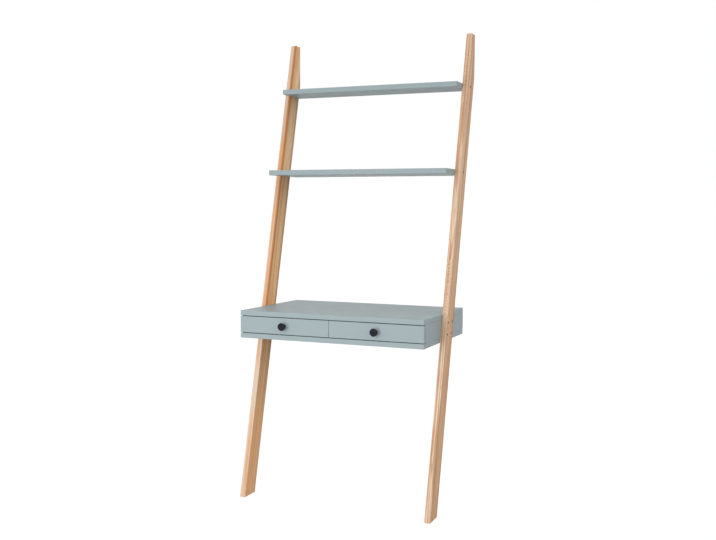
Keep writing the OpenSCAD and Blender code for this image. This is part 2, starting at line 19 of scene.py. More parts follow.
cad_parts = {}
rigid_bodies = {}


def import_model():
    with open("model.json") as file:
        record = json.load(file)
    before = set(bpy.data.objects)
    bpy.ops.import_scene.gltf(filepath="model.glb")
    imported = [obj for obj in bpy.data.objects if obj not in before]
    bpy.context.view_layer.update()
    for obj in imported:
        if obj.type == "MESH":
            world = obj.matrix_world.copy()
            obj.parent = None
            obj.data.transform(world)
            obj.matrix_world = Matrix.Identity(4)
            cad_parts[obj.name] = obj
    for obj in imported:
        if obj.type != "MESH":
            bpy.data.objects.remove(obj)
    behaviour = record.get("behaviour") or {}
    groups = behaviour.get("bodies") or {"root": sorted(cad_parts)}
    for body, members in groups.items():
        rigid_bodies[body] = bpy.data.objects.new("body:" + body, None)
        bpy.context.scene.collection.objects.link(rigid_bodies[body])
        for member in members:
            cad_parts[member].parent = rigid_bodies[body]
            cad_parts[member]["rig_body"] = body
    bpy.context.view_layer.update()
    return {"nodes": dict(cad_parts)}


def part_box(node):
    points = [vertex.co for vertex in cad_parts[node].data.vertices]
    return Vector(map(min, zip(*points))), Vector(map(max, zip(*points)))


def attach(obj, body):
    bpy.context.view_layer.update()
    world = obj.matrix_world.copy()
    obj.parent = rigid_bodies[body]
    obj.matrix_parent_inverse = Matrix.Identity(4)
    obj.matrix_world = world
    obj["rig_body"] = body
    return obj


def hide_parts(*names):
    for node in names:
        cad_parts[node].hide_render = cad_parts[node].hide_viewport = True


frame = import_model()

LOG = logging.getLogger("ladder_desk")
MM = 0.001
X, Y, Z = 0, 1, 2
MERGE = 0.002 * MM                 # corners nearer than this are one
NEAR = 10 * MERGE                  # corners nearer than this to a plane lie in it
HEADED = 0.1 * MM                  # ends that differ by more in radius are a head and a point
FLAT = math.radians(0.5)           # faces that meet at less are one flat face
SHARP = math.radians(32)           # edges that turn by more stay crisp
SIXTH = math.radians(60)
QUARTER = math.radians(90)
GRAIN = "grain_place"              # attribute: place across the thickness, across the width and along a board
AIM = "aim"                        # attribute: direction from a fastener's point to its head

Socket = bpy.types.NodeSocket
Feed = Union[Socket, float, int, str, Sequence[float], bpy.types.ID]
Feeds = Mapping[Union[int, str], Feed]             # for the inputs of a node, by index or name
Coat = tuple[Feed, Union[Socket, str]]             # share of a coat of colour, and the colour
Point = tuple[float, float]
Work = bmesh.types.BMesh
Edge = bmesh.types.BMEdge
Piece = bpy.types.Object


def srgb(code: str, gain: float = 1.0) -> tuple[float, float, float, float]:
    """Turns a hexadecimal screen colour into a linear one.

    Args:
        code: Colour such as "#a8b6bb".
        gain: Factor on the linear values.

    Returns:
        Red, green, blue and an alpha of 1.
    """
    parts = [int(code[i : i + 2], 16) / 255 for i in (1, 3, 5)]
    linear = [p / 12.92 if p <= 0.04045 else ((p + 0.055) / 1.055) ** 2.4 for p in parts]
    return (*(min(1.0, c * gain) for c in linear), 1.0)


# ---- Node trees ----


class NodeRecipe:
    """Adds nodes to a tree, each set and linked in one call."""

    def __init__(self, tree: bpy.types.NodeTree) -> None:
        """Keeps the tree that the nodes go into."""
        self.tree = tree

    def feed(self, socket: Socket, value: Feed) -> None:
        """Links a socket to another one, or gives it a plain value.

        Args:
            socket: The input socket.
            value: The other socket, or the value.
        """
        if isinstance(value, Socket):
            self.tree.links.new(value, socket)
        else:
            socket.default_value = value

    def node(self, kind: str, inputs: Feeds | None = None, **settings: str | bool) -> bpy.types.Node:
        """Adds one node.

        Args:
            kind: Blender's type name of the node.
            inputs: Feeds of its input sockets.
            **settings: Properties of the node.

        Returns:
            The new node.
        """
        made = self.tree.nodes.new(kind)
        for name, value in settings.items():
            setattr(made, name, value)
        for key, value in (inputs or {}).items():
            self.feed(made.inputs[key], value)
        return made

    def math(self, operation: str, *feeds: Feed) -> Socket:
        """Result of a Math node on up to three feeds."""
        return self.node("ShaderNodeMath", dict(enumerate(feeds)), operation=operation).outputs[0]

    def vector_math(self, operation: str, *feeds: Feed) -> bpy.types.Node:
        """A Vector Math node on up to three feeds."""
        return self.node("ShaderNodeVectorMath", dict(enumerate(feeds)), operation=operation)

    def distance(self, *parts: Socket) -> Socket:
        """Length of a vector in a plane, from its two components."""
        squares = (self.math("MULTIPLY", part, part) for part in parts)
        return self.math("SQRT", self.math("ADD", *squares))


@dataclass(frozen=True)
class Pattern:
    """Smooth noise, stretched along the axes."""

    cells: tuple[float, float, float]      # in a metre along each axis
    octaves: float = 2.0
    rough: float = 0.5                     # strength of the finer octaves
    shift: float = 0.0                     # moves the pattern, so that two uses of it differ


class Shader(NodeRecipe):
    """The node tree of one new material, with short calls for the patterns that the finishes share."""

    def __init__(self, name: str) -> None:
        """Makes the material and finds its Principled shader.

        Args:
            name: Name of the material.
        """
        self.material = bpy.data.materials.new(name)
        self.material.use_nodes = True
        super().__init__(self.material.node_tree)
        self.surface = self.tree.nodes["Principled BSDF"]
        self.coordinates = self.node("ShaderNodeTexCoord")

    def set(self, socket: str, value: Feed) -> None:
        """Feeds one input of the Principled shader."""
        self.feed(self.surface.inputs[socket], value)

    def object_place(self) -> Socket:
        """Object coordinates."""
        return self.coordinates.outputs["Object"]

    def board_place(self) -> Socket:
        """Place within a board: across its thickness, across its width and along its grain."""
        return self.node("ShaderNodeAttribute", attribute_name=GRAIN).outputs["Vector"]

    def turned_place(self, angle: float, origin: Vector) -> Socket:
        """Object coordinates from an origin, turned about X.

        Args:
            angle: The turn in radians.
            origin: Point that becomes the zero of the new coordinates.

        Returns:
            The turned coordinates.
        """
        shift = -(Matrix.Rotation(angle, 3, "X") @ origin)
        inputs = {"Vector": self.object_place(), "Location": shift, "Rotation": (angle, 0, 0)}
        return self.node("ShaderNodeMapping", inputs, vector_type="POINT").outputs[0]

    def split(self, vector: Socket) -> list[Socket]:
        """The three components of a vector."""
        return list(self.node("ShaderNodeSeparateXYZ", {0: vector}).outputs)

    def noise(self, place: Socket, pattern: Pattern, seed: float = 0.0, output: str = "Fac") -> Socket:
        """Noise of one pattern.

        Args:
            place: Coordinates in metres.
            pattern: The pattern.
            seed: Moves it once more.
            output: "Fac" for one level, "Color" for three.

        Returns:
            The noise.
        """
        inputs = {"Vector": place, "Scale": pattern.cells, "Location": (seed + pattern.shift,) * 3}
        scaled = self.node("ShaderNodeMapping", inputs).outputs[0]
        inputs = {"Vector": scaled, "Scale": 1.0, "Detail": pattern.octaves, "Roughness": pattern.rough}
        return self.node("ShaderNodeTexNoise", inputs).outputs[output]

    def noises(self, place: Socket, *patterns: Pattern, seed: float = 0.0) -> list[Socket]:
        """Noise of several patterns."""
        return [self.noise(place, pattern, seed) for pattern in patterns]

    def span(self, value: Feed, low: float, high: float, to_low: float = 0.0, to_high: float = 1.0) -> Socket:
        """Maps a value smoothly from one range to another, clamped at both ends."""
        inputs = {0: value, 1: low, 2: high, 3: to_low, 4: to_high}
        return self.node("ShaderNodeMapRange", inputs, interpolation_type="SMOOTHSTEP").outputs[0]

    def ramp(self, value: Socket, stops: Sequence[Point]) -> Socket:
        """A grey curve.

        Args:
            value: Place along the curve.
            stops: Place and level of each of its stops.

        Returns:
            The level.
        """
        ramp = self.node("ShaderNodeValToRGB", {0: value})
        elements = ramp.color_ramp.elements
        while len(elements) < len(stops):
            elements.new(0.5)
        for element, (place, level) in zip(elements, stops):
            element.position = place
            element.color = (level, level, level, 1.0)
        return ramp.outputs[0]

    def mix(self, share: Feed, first: Feed, second: Feed) -> Socket:
        """Mixes two colours: a share of 0 gives the first one, 1 the second."""
        return self.node("ShaderNodeMix", {0: share, 6: first, 7: second}, data_type="RGBA").outputs[2]

    def paint(self, ground: str, *coats: Coat) -> Socket:
        """Lays coats of colour on a ground.

        Args:
            ground: Screen colour of the ground.
            *coats: The coats, from the lowest to the uppermost.

        Returns:
            The painted colour.
        """
        colour = srgb(ground)
        for share, tone in coats:
            colour = self.mix(share, colour, srgb(tone) if isinstance(tone, str) else tone)
        return colour

    def cover(self, colour: Feed, rough: Feed, specular: float = 0.5, metallic: float = 0.0) -> None:
        """Gives the surface its look.

        Args:
            colour: Base colour.
            rough: Roughness.
            specular: Specular level.
            metallic: 1 for bare metal.
        """
        names = ("Base Color", "Roughness", "Specular IOR Level", "Metallic")
        for name, value in zip(names, (colour, rough, specular, metallic)):
            self.set(name, value)

    def bump(self, height: Socket, strength: float, distance: float) -> None:
        """Gives the surface a bump of a height in metres."""
        inputs = {"Height": height, "Strength": strength, "Distance": distance}
        self.set("Normal", self.node("ShaderNodeBump", inputs).outputs[0])


# ---- Finishes ----


class Slot(Enum):
    """Material slots of the record, with the word that starts the names of their pieces."""

    ASH = ("ash_wood", "ash")
    LACQUER = ("grey_lacquer", "lacquered")
    PLY = ("plywood", "ply")
    BEECH = ("beech", "beech")
    BLACK = ("black_metal", "black")
    BRONZE = ("bronze_steel", "bronzed")
    STEEL = ("steel", "zinc")
    RUBBER = ("rubber", "rubber")

    @property
    def record_name(self) -> str:
        """Name of the slot in the record."""
        return self.value[0]

    def piece_name(self, node: str) -> str:
        """Name of the piece that stands for a node."""
        return f"{self.value[1]}_{node}"


class Finish(ABC):
    """A surface that pieces are given. Its material is made once."""

    slot: Slot
    title: str
    made: ClassVar[dict[str, bpy.types.Material]] = {}

    @abstractmethod
    def dress(self, shader: Shader) -> None:
        """Builds the nodes of the material."""

    def material(self) -> bpy.types.Material:
        """Gives the finish's material, and builds it at the first call.

        Returns:
            The material.
        """
        if self.title not in Finish.made:
            shader = Shader(self.title)
            self.dress(shader)
            Finish.made[self.title] = shader.material
        return Finish.made[self.title]


@dataclass(frozen=True)
class HeartStreak:
    """A dark line of heartwood that runs along a board near one of its long edges."""

    across: float                 # from the middle of the thickness
    along_width: float            # from the middle of the width
    reach: float                  # half its width
    margin: float                 # half the width of its warm margin
    start: float                  # where it starts along the board
    strength: float = 0.85
    margin_strength: float = 0.4
    core: float = 0.3             # share of its width that has the full strength
    fade: float = 0.12            # length over which it sets in
    drift: float = 12.0 * MM      # how far it wanders across the width


@dataclass(frozen=True)
class AshWood(Finish):
    """Oiled ash. Growth rings turn about a pith that lies off the board and slopes along it."""

    title: str
    origin: Vector                     # foot of the board's centre line
    lean: float                        # turn that brings the board's length to Z
    pith: Point                        # place of the pith at the foot: across the thickness and the width
    slope: Point                       # how far the pith moves for each metre along the board
    seed: float
    streak: HeartStreak | None = None
    swells: tuple[Point, ...] = ()     # where the rings bulge into arches: place along the board and reach
    swell: float = 22.0 * MM           # how far they bulge
    ring: float = 3.0 * MM
    sway: float = 20.0 * MM            # how far the rings wander in all
    front: float = -40.0 * MM          # place of the front edge across the width
    sap: float = 9.0 * MM              # how deep the sapwood reaches from the front edge
    figure: float = 0.75               # how strongly the early wood shows
    pale: str = "#fcd6ab"
    warm: str = "#f3be8d"
    rosy: str = "#e9ae90"
    foot: str = "#eab078"              # towards the foot, behind the sapwood
    sapwood: str = "#ecd2b4"           # at the foot
    sap_top: str = "#dcba98"           # near the top
    early: str = "#c08a5c"
    heart: str = "#c98d56"
    shade: str = "#ab7c55"             # in dark bands
    rear_shade: str = "#ab7c55"              # painted shade along the rear edge, standing in for a rounded arris turned from the light
    rear_shade_share: float = 0.6
    rear_shade_low: float = 1.0              # how much of that share is left near the foot
    rear_shade_depth: float = 12.0 * MM      # how deep it reaches from the edge
    pore: str = "#8a5c36"
    slot = Slot.ASH
    WARP = Pattern((7, 7, 1.8))
    ZONES = Pattern((26, 26, 1.1), 2.0, 0.55, 3)
    FIBRE = Pattern((420, 420, 7), 3.0, 0.6, 5)
    BANDS = Pattern((120, 120, 1.8), shift=7)
    PORES = Pattern((2300, 2300, 110), 1.0, shift=9)
    WANDER = Pattern((4, 4, 2.2), shift=11)
    BLUSH = Pattern((34, 34, 9), shift=13)
    # place across a ring and share of early wood there
    EARLY_WOOD = ((0.0, 0.8), (0.12, 1.0), (0.35, 0.25), (0.55, 0.0), (0.9, 0.05), (1.0, 0.8))

    def rings(self, shader: Shader, place: Socket) -> tuple[Socket, Socket]:
        """Growth rings of the board.

        Args:
            shader: The material's shader.
            place: Coordinates along the board.

        Returns:
            Place within a ring, from 0 at its early wood to 1, and the ring's number.
        """
        warp = shader.noise(place, self.WARP, self.seed, "Color")
        most, least = ((sway, sway, 0.0) for sway in (self.sway, -self.sway / 2))
        sway = shader.vector_math("MULTIPLY_ADD", warp, most, least).outputs[0]
        x, y, z = shader.split(shader.vector_math("ADD", place, sway).outputs[0])
        away = (shader.math("SUBTRACT", part, shader.math("MULTIPLY_ADD", z, slope, pith))
                for part, slope, pith in zip((x, y), self.slope, self.pith))
        radius = shader.distance(*away)
        for middle, reach in self.swells:
            bulge = shader.math("MULTIPLY", shader.span(z, middle - reach, middle),
                                shader.span(z, middle, middle + reach, 1.0, 0.0))
            radius = shader.math("MULTIPLY_ADD", bulge, self.swell, radius)
        count = shader.math("DIVIDE", radius, self.ring)
        return shader.math("FRACT", count), shader.math("FLOOR", count)

    def dress(self, shader: Shader) -> None:
        """Rings with a porous early wood, fibres, slow colour zones, end grain and a painted shade along the
        rear edge.

        Args:
            shader: The material's shader.
        """
        place = shader.turned_place(self.lean, self.origin)
        _, y, z = shader.split(place)
        within, number = self.rings(shader, place)
        chance = shader.node("ShaderNodeTexWhiteNoise", {"W": shader.math("ADD", number, self.seed)},
                             noise_dimensions="1D").outputs["Value"]
        early = shader.math("MULTIPLY", shader.ramp(within, self.EARLY_WOOD),
                            shader.span(chance, 0.0, 1.0, 0.45, 1.0))
        zones, fibre, bands, pores, blush = shader.noises(
            place, self.ZONES, self.FIBRE, self.BANDS, self.PORES, self.BLUSH, seed=self.seed)
        pores = shader.math("MULTIPLY", shader.span(pores, 0.56, 0.64), early)
        bark = shader.span(y, self.front + 0.3 * self.sap, self.front + self.sap, 0.9, 0.0)
        back = -self.front
        # painted shade: a darker strip along the rear edge, in place of a shaded rounded arris
        rear_shade = shader.span(y, back - self.rear_shade_depth, back - 0.25 * self.rear_shade_depth, 0.0, self.rear_shade_share)
        colour = shader.paint(
            self.pale,
            (shader.span(zones, 0.3, 0.7), self.warm),
            (shader.span(z, 0.0, 0.8, 0.75, 0.0), self.foot),
            (bark, shader.paint(self.sapwood, (shader.span(z, 0.5, 1.6), self.sap_top))),
            (shader.span(blush, 0.45, 0.7, 0.0, 0.5), self.rosy),
            (shader.span(bands, 0.5, 0.62, 0.0, 0.6), self.shade),
            (shader.math("MULTIPLY", early, self.figure), self.early),
            (shader.span(bands, 0.36, 0.48, 0.5, 0.0), self.sapwood),
            (shader.math("MULTIPLY", rear_shade, shader.span(z, 0.4, 0.8, self.rear_shade_low, 1.0)), self.rear_shade),
            *self.streak_coats(shader, place),
            (shader.span(fibre, 0.45, 0.75, 0.0, 0.25), self.early),
            (shader.math("MULTIPLY", pores, 0.5), self.pore),
            (self.end_grain(shader), self.early))
        shader.cover(colour, shader.span(fibre, 0.3, 0.7, 0.46, 0.6), specular=0.2)
        relief = shader.math("SUBTRACT", shader.math("MULTIPLY", fibre, 0.35), pores)
        shader.bump(relief, 0.5, 0.12 * MM)

    def streak_coats(self, shader: Shader, place: Socket) -> list[Coat]:
        """The heart streak, inside a warm margin.

        Args:
            shader: The material's shader.
            place: Coordinates along the board.

        Returns:
            Its coats, or none for a board without a streak.
        """
        streak = self.streak
        if not streak:
            return []
        wander = shader.noise(place, self.WANDER, self.seed)
        x, y, z = shader.split(place)
        middle = shader.math("MULTIPLY_ADD", wander, streak.drift, streak.along_width - streak.drift / 2)
        far = shader.distance(shader.math("SUBTRACT", x, streak.across), shader.math("SUBTRACT", y, middle))
        begun = shader.span(z, streak.start, streak.start + streak.fade)
        coats = []
        for tone, reach, strength in ((self.early, streak.margin, streak.margin_strength),
                                      (self.heart, streak.reach, streak.strength)):
            near = shader.span(far, reach * streak.core, reach, strength, 0.0)
            coats.append((shader.math("MULTIPLY", near, begun), tone))
        return coats

    def end_grain(self, shader: Shader) -> Socket:
        """Finds the end grain from how far a face looks along the board.

        Args:
            shader: The material's shader.

        Returns:
            Share of the darker end grain.
        """
        along = (0.0, math.sin(self.lean), math.cos(self.lean))
        normal = shader.coordinates.outputs["Normal"]
        facing = shader.vector_math("DOT_PRODUCT", normal, along).outputs["Value"]
        return shader.span(shader.math("ABSOLUTE", facing), 0.35, 0.8, 0.0, 0.4)


@dataclass(frozen=True)
class SatinLacquer(Finish):
    """Sprayed satin lacquer on fine fibreboard: one colour with a faint drift and a fine orange peel."""

    colour: str = "#a7b6b9"
    uneven: float = 0.03               # how far the colour drifts each way
    peel: float = 2.4 * MM
    title = "grey_satin_lacquer"
    slot = Slot.LACQUER
    DRIFT = Pattern((3.0, 3.0, 3.0))
    HAZE = Pattern((22, 22, 22), shift=4)

    def dress(self, shader: Shader) -> None:
        """A colour that drifts slowly, an uneven sheen and the peel.

        Args:
            shader: The material's shader.
        """
        peel = Pattern((1 / self.peel,) * 3, 1.0, 0.4)
        drift, haze, bumps = shader.noises(shader.object_place(), self.DRIFT, self.HAZE, peel)
        tones = (srgb(self.colour, gain) for gain in (1 - self.uneven, 1 + self.uneven))
        shader.cover(shader.mix(drift, *tones), shader.span(haze, 0.25, 0.75, 0.38, 0.46), specular=0.12)
        shader.bump(bumps, 0.25, 0.03 * MM)


@dataclass(frozen=True)
class BirchPly(Finish):
    """Clear-coated birch plywood: veneers whose grain turns from layer to layer."""

    veneer: float = 1.35 * MM
    pale: str = "#e3cda6"
    warm: str = "#cfae7e"
    dark: str = "#a67f52"
    glue: str = "#7c5a38"
    title = "birch_plywood"
    slot = Slot.PLY
    FIGURE = Pattern((60, 38, 2.6), 3.0, 0.6)
    FIBRE = Pattern((500, 520, 9), 2.0, 0.6, 2)
    CROSS = Pattern((500, 9, 520), 2.0, 0.6, 5)

    def dress(self, shader: Shader) -> None:
        """Layers across the thickness, with a long figure in every other one and end grain between.

        Args:
            shader: The material's shader.
        """
        place = shader.board_place()
        layer = shader.math("DIVIDE", shader.split(place)[0], self.veneer)
        odd = shader.math("FLOOR", shader.math("MODULO", layer, 2.0))
        seam = shader.math("ABSOLUTE", shader.math("SUBTRACT", shader.math("FRACT", layer), 0.5))
        figure, fibre, cross = shader.noises(place, self.FIGURE, self.FIBRE, self.CROSS)
        colour = shader.paint(
            self.pale,
            (shader.span(figure, 0.35, 0.7), self.warm),
            (shader.span(fibre, 0.45, 0.8, 0.0, 0.4), self.dark),
            (odd, shader.paint(self.warm, (shader.span(cross, 0.3, 0.7), self.dark))),
            (shader.span(seam, 0.44, 0.49, 0.0, 0.6), self.glue))
        shader.cover(colour, shader.span(figure, 0.3, 0.7, 0.42, 0.52), specular=0.35)
        shader.bump(fibre, 0.3, 0.05 * MM)


@dataclass(frozen=True)
class Beech(Finish):
    """Plain beech of the dowels, with its short dark flecks."""

    pale: str = "#dcb98d"
    fleck: str = "#a67449"
    title = "beech"
    slot = Slot.BEECH
    FLECKS = Pattern((900, 900, 260), 1.0)
    FIBRE = Pattern((600, 600, 20), shift=3)

    def dress(self, shader: Shader) -> None:
        """Flecks that are longer along the grain.

        Args:
            shader: The material's shader.
        """
        flecks, fibre = shader.noises(shader.board_place(), self.FLECKS, self.FIBRE)
        colour = shader.paint(self.pale, (shader.span(fibre, 0.3, 0.7, 0.0, 0.3), self.fleck),
                              (shader.span(flecks, 0.58, 0.66, 0.0, 0.6), self.fleck))
        shader.cover(colour, 0.6)
        shader.bump(fibre, 0.3, 0.05 * MM)


@dataclass(frozen=True)
class CoatedMetal(Finish):
    """Metal under a thin coat, with a sheen that varies a little."""

    title: str
    slot: Slot
    tone: str
    worn: str
    metallic: float
    rough: Point
    cells: float
    specular: float = 0.5

    def dress(self, shader: Shader) -> None:
        """Cloudy colour and sheen, and fine unevenness.

        Args:
            shader: The material's shader.
        """
        clouds, grit = shader.noises(shader.object_place(), Pattern((self.cells,) * 3, 3.0, 0.6),
                                     Pattern((self.cells * 9,) * 3, 1.0, shift=2))
        colour = shader.paint(self.tone, (shader.span(clouds, 0.3, 0.75), self.worn))
        shader.cover(colour, shader.span(clouds, 0.3, 0.7, *self.rough), self.specular, self.metallic)
        shader.bump(grit, 0.2, 0.01 * MM)


@dataclass(frozen=True)
class MouldedRubber(Finish):
    """Black moulded rubber with a dusty bloom."""

    tone: str = "#2b2b2c"
    bloom: str = "#4a4946"
    grit: float = 0.6 * MM
    title = "moulded_rubber"
    slot = Slot.RUBBER
    PATCHES = Pattern((180, 180, 180), 3.0, 0.6)

    def dress(self, shader: Shader) -> None:
        """A faint bloom in patches and a fine grit.

        Args:
            shader: The material's shader.
        """
        fine = Pattern((1 / self.grit,) * 3, 1.0, shift=3)
        patches, grit = shader.noises(shader.object_place(), self.PATCHES, fine)
        colour = shader.paint(self.tone, (shader.span(patches, 0.45, 0.75, 0.0, 0.6), self.bloom))
        shader.cover(colour, shader.span(patches, 0.3, 0.7, 0.6, 0.75), specular=0.3)
        shader.bump(grit, 0.3, 0.03 * MM)


LACQUER = SatinLacquer()
RUBBER = MouldedRubber()
PLY = BirchPly()
BEECH = Beech()
BLACK = CoatedMetal("satin_black_metal", Slot.BLACK, "#0f141a", "#171d24", 0.0, (0.26, 0.34), 90.0, 0.14)
BRONZE = CoatedMetal("dark_bronze_steel", Slot.BRONZE, "#6b5138", "#54402d", 1.0, (0.34, 0.46), 240.0)
ZINC = CoatedMetal("zinc_plated_steel", Slot.STEEL, "#b4b8bb", "#c6c9ca", 1.0, (0.3, 0.42), 160.0)


# ---- Meshes ----


def linked(name: str, data: bpy.types.ID) -> Piece:
    """Puts a new object into the scene.

    Args:
        name: Its name.
        data: Its mesh, light or camera.

    Returns:
        The object, at the origin.
    """
    made = bpy.data.objects.new(name, data)
    bpy.context.scene.collection.objects.link(made)
    return made


def node_copy(node: str, joined: bool = True) -> Work:
    """Copies a frame node's mesh and merges its corners.

    Args:
        node: The frame node.
        joined: Whether its flat faces are joined.

    Returns:
        The closed copy.
    """
    work = bmesh.new()
    work.from_mesh(frame["nodes"][node].data)
    bmesh.ops.remove_doubles(work, verts=work.verts, dist=MERGE)
    if joined:
        bmesh.ops.dissolve_limit(work, angle_limit=FLAT, verts=work.verts, edges=work.edges)
    return work


def solids(node: str) -> list[np.ndarray]:
    """Finds the separate solids of a node.

    Args:
        node: The frame node.

    Returns:
        The corners of each solid, in the order of the solids' middles.
    """
    work = node_copy(node, joined=False)
    left = set(work.verts)
    found = []
    while left:
        front = [left.pop()]
        solid = []
        while front:
            corner = front.pop()
            solid.append(corner.co[:])
            near = {edge.other_vert(corner) for edge in corner.link_edges} & left
            left -= near
            front.extend(near)
        found.append(np.array(solid))
    work.free()
    return sorted(found, key=lambda solid: tuple(solid.mean(0).round(4)))


def ease(work: Work, width: float, edges: Sequence[Edge], segments: int = 3) -> None:
    """Rounds some edges of the work by a width in metres."""
    bmesh.ops.bevel(work, geom=list(edges), offset=width, offset_type="OFFSET", segments=segments,
                    profile=0.5, affect="EDGES", clamp_overlap=True)


def crisp(work: Work, angle: float = SHARP) -> list[Edge]:
    """The edges of the work that turn by more than an angle."""
    return [e for e in work.edges if len(e.link_faces) == 2 and e.calc_face_angle() > angle]


def extent(work: Work) -> tuple[np.ndarray, np.ndarray]:
    """The lowest and the highest corner of the work's own box."""
    places = np.array([v.co[:] for v in work.verts])
    return places.min(0), places.max(0)


def on_box(work: Work) -> list[Edge]:
    """Finds the crisp edges of the work that lie on an edge of its own box.

    Args:
        work: The mesh.

    Returns:
        The edges.
    """
    box = extent(work)

    def walls(corner: bmesh.types.BMVert) -> set[tuple[int, int]]:
        """The sides of the box that a corner lies on."""
        return {(axis, end) for axis in (X, Y, Z) for end in (0, 1)
                if abs(corner.co[axis] - box[end][axis]) < NEAR}

    return [e for e in crisp(work) if len(walls(e.verts[0]) & walls(e.verts[1])) == 2]


def mark_grain(work: Work) -> None:
    """Writes each corner's place in its board: from one face, across the width and along the length.

    Args:
        work: The board's mesh.
    """
    low, high = extent(work)
    thick, wide, long = np.argsort(high - low)
    layer = work.verts.layers.float_vector.new(GRAIN)
    for corner in work.verts:
        corner[layer] = (corner.co[thick] - low[thick], corner.co[wide], corner.co[long])


def flattened(rough: Piece, name: str) -> Piece:
    """Applies an object's modifiers and leaves a plain mesh object in its place.

    Args:
        rough: Object with live modifiers. It is removed.
        name: Name of the new object.

    Returns:
        The new object, at the origin.
    """
    shading = rough.modifiers.new("even_shading", "WEIGHTED_NORMAL")
    shading.keep_sharp = True
    graph = bpy.context.evaluated_depsgraph_get()
    mesh = bpy.data.meshes.new_from_object(rough.evaluated_get(graph), depsgraph=graph)
    mesh.name = name
    bpy.data.objects.remove(rough)
    if AIM in mesh.attributes:
        mesh.attributes.remove(mesh.attributes[AIM])
    return linked(name, mesh)


def smooth_mesh(work: Work, name: str) -> bpy.types.Mesh:
    """Turns the work into a mesh that is smooth except at its crisp edges.

    Args:
        work: The work. It is freed.
        name: Name of the mesh.

    Returns:
        The mesh.
    """
    mesh = bpy.data.meshes.new(name)
    work.to_mesh(mesh)
    work.free()
    mesh.polygons.foreach_set("use_smooth", [True] * len(mesh.polygons))
    mesh.set_sharp_from_angle(angle=SHARP)
    return mesh


def settle(piece: Piece, node: str, finish: Finish) -> Piece:
    """Lets a piece ride with its node's body, and hides the node that it stands for.

    Args:
        piece: The piece.
        node: The frame node.
        finish: The piece's finish.

    Returns:
        The piece.
    """
    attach(piece, frame["nodes"][node]["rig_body"])
    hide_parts(node)
    finish.slot.record_name
    return piece


def solid_piece(work: Work, node: str, finish: Finish) -> Piece:
    """Makes a finished piece of the work.

    Args:
        work: The piece's mesh, in place. It is freed.
        node: The frame node that it stands for.
        finish: The piece's finish.

    Returns:
        The piece, settled on its body.
    """
    name = finish.slot.piece_name(node)
    rough = linked(name + "_rough", smooth_mesh(work, name))
    rough.data.materials.append(finish.material())
    return settle(flattened(rough, name), node, finish)


# ---- Turned parts ----


class Relief(Enum):
    """How a turned ring departs from a circle."""

    ROUND = "round"
    HEX = "six-sided key socket"
    CROSS = "cross recess"
    THREAD = "thread"
    FLUTE = "flutes"


@dataclass(frozen=True)
class Ring:
    """One ring of a turned part."""

    radius: float
    height: float
    relief: Relief = Relief.ROUND


def arc(middle: Point, radius: float, start: float, end: float, steps: int) -> list[Ring]:
    """Rings along an arc of the section.

    Args:
        middle: Radius and height of the arc's middle.
        radius: Radius of the arc.
        start: First angle in degrees, from outwards towards up.
        end: Last angle in degrees.
        steps: Number of spans between the rings.

    Returns:
        The rings, both ends among them.
    """
    angles = (math.radians(start + (end - start) * i / steps) for i in range(steps + 1))
    return [Ring(middle[0] + radius * math.cos(a), middle[1] + radius * math.sin(a)) for a in angles]


@dataclass(frozen=True)
class Turning:
    """A part turned about Z from its rings. Its top is at height 0 and its point looks down."""

    rings: Sequence[Ring]
    sides: int = 24
    pitch: float = 1.0 * MM
    depth: float = 0.35 * MM       # of its thread or its flutes
    flutes: int = 20
    arm: float = 0.24              # half width of a cross recess's arm, as a share of its radius

    def reach(self, ring: Ring, turn: float) -> float:
        """Measures a ring at one turn.

        Args:
            ring: The ring.
            turn: The turn about Z in radians.

        Returns:
            Its distance from the axis there.
        """
        if ring.relief is Relief.HEX:
            return ring.radius * math.cos(SIXTH / 2) / math.cos(turn % SIXTH - SIXTH / 2)
        if ring.relief is Relief.CROSS:
            aside = abs(math.sin((turn + QUARTER / 2) % QUARTER - QUARTER / 2))
            return min(ring.radius, ring.radius * self.arm / max(aside, MM))
        if ring.relief is Relief.THREAD:
            phase = (ring.height / self.pitch + turn / math.tau) % 1.0
            return ring.radius - self.depth * abs(2 * phase - 1)
        if ring.relief is Relief.FLUTE:
            return ring.radius - self.depth * max(0.0, math.cos(self.flutes * turn))
        return ring.radius

    def work(self) -> Work:
        """Builds the part's mesh, with the grain attribute along Z.

        Returns:
            The mesh. A ring of no radius is a pole, one corner that closes it.
        """
        work = bmesh.new()
        loops = []
        for ring in self.rings:
            turns = [math.tau * i / self.sides for i in range(self.sides if ring.radius > 0 else 1)]
            reaches = [self.reach(ring, turn) for turn in turns]
            loops.append([work.verts.new((r * math.cos(t), r * math.sin(t), ring.height))
                          for r, t in zip(reaches, turns)])
        for first, second in zip(loops, loops[1:]):
            for i in range(self.sides):
                j = (i + 1) % self.sides
                corners = [first[i % len(first)], first[j % len(first)],
                           second[j % len(second)], second[i % len(second)]]
                corners = list(dict.fromkeys(corners))
                if len(corners) > 2:
                    work.faces.new(corners)
        bmesh.ops.recalc_face_normals(work, faces=work.faces)
        layer = work.verts.layers.float_vector.new(GRAIN)
        for corner in work.verts:
            corner[layer] = corner.co
        return work


def threaded(radius: float, top: float, bottom: float, pitch: float, steps: int = 4) -> list[Ring]:
    """Rings of a threaded length, a few to each turn of the thread."""
    count = max(2, round((top - bottom) / pitch * steps))
    return [Ring(radius, top + (bottom - top) * i / count, Relief.THREAD) for i in range(count + 1)]


def key_socket(flats: float, depth: float, rim: float = 0.3 * MM) -> list[Ring]:
    """Rings of a six-sided key socket, from its width across the flats, its depth and its chamfer."""
    key = flats / math.sqrt(3)
    return [Ring(0, -depth), Ring(key, -depth, Relief.HEX), Ring(key, -rim, Relief.HEX), Ring(key + rim, 0)]


# ---- Fasteners ----


@dataclass(frozen=True)
class Seat:
    """Where a fastener sits: the middle of its outer end and the way that end looks."""

    place: Vector
    aim: Vector
    length: float
    radius: float


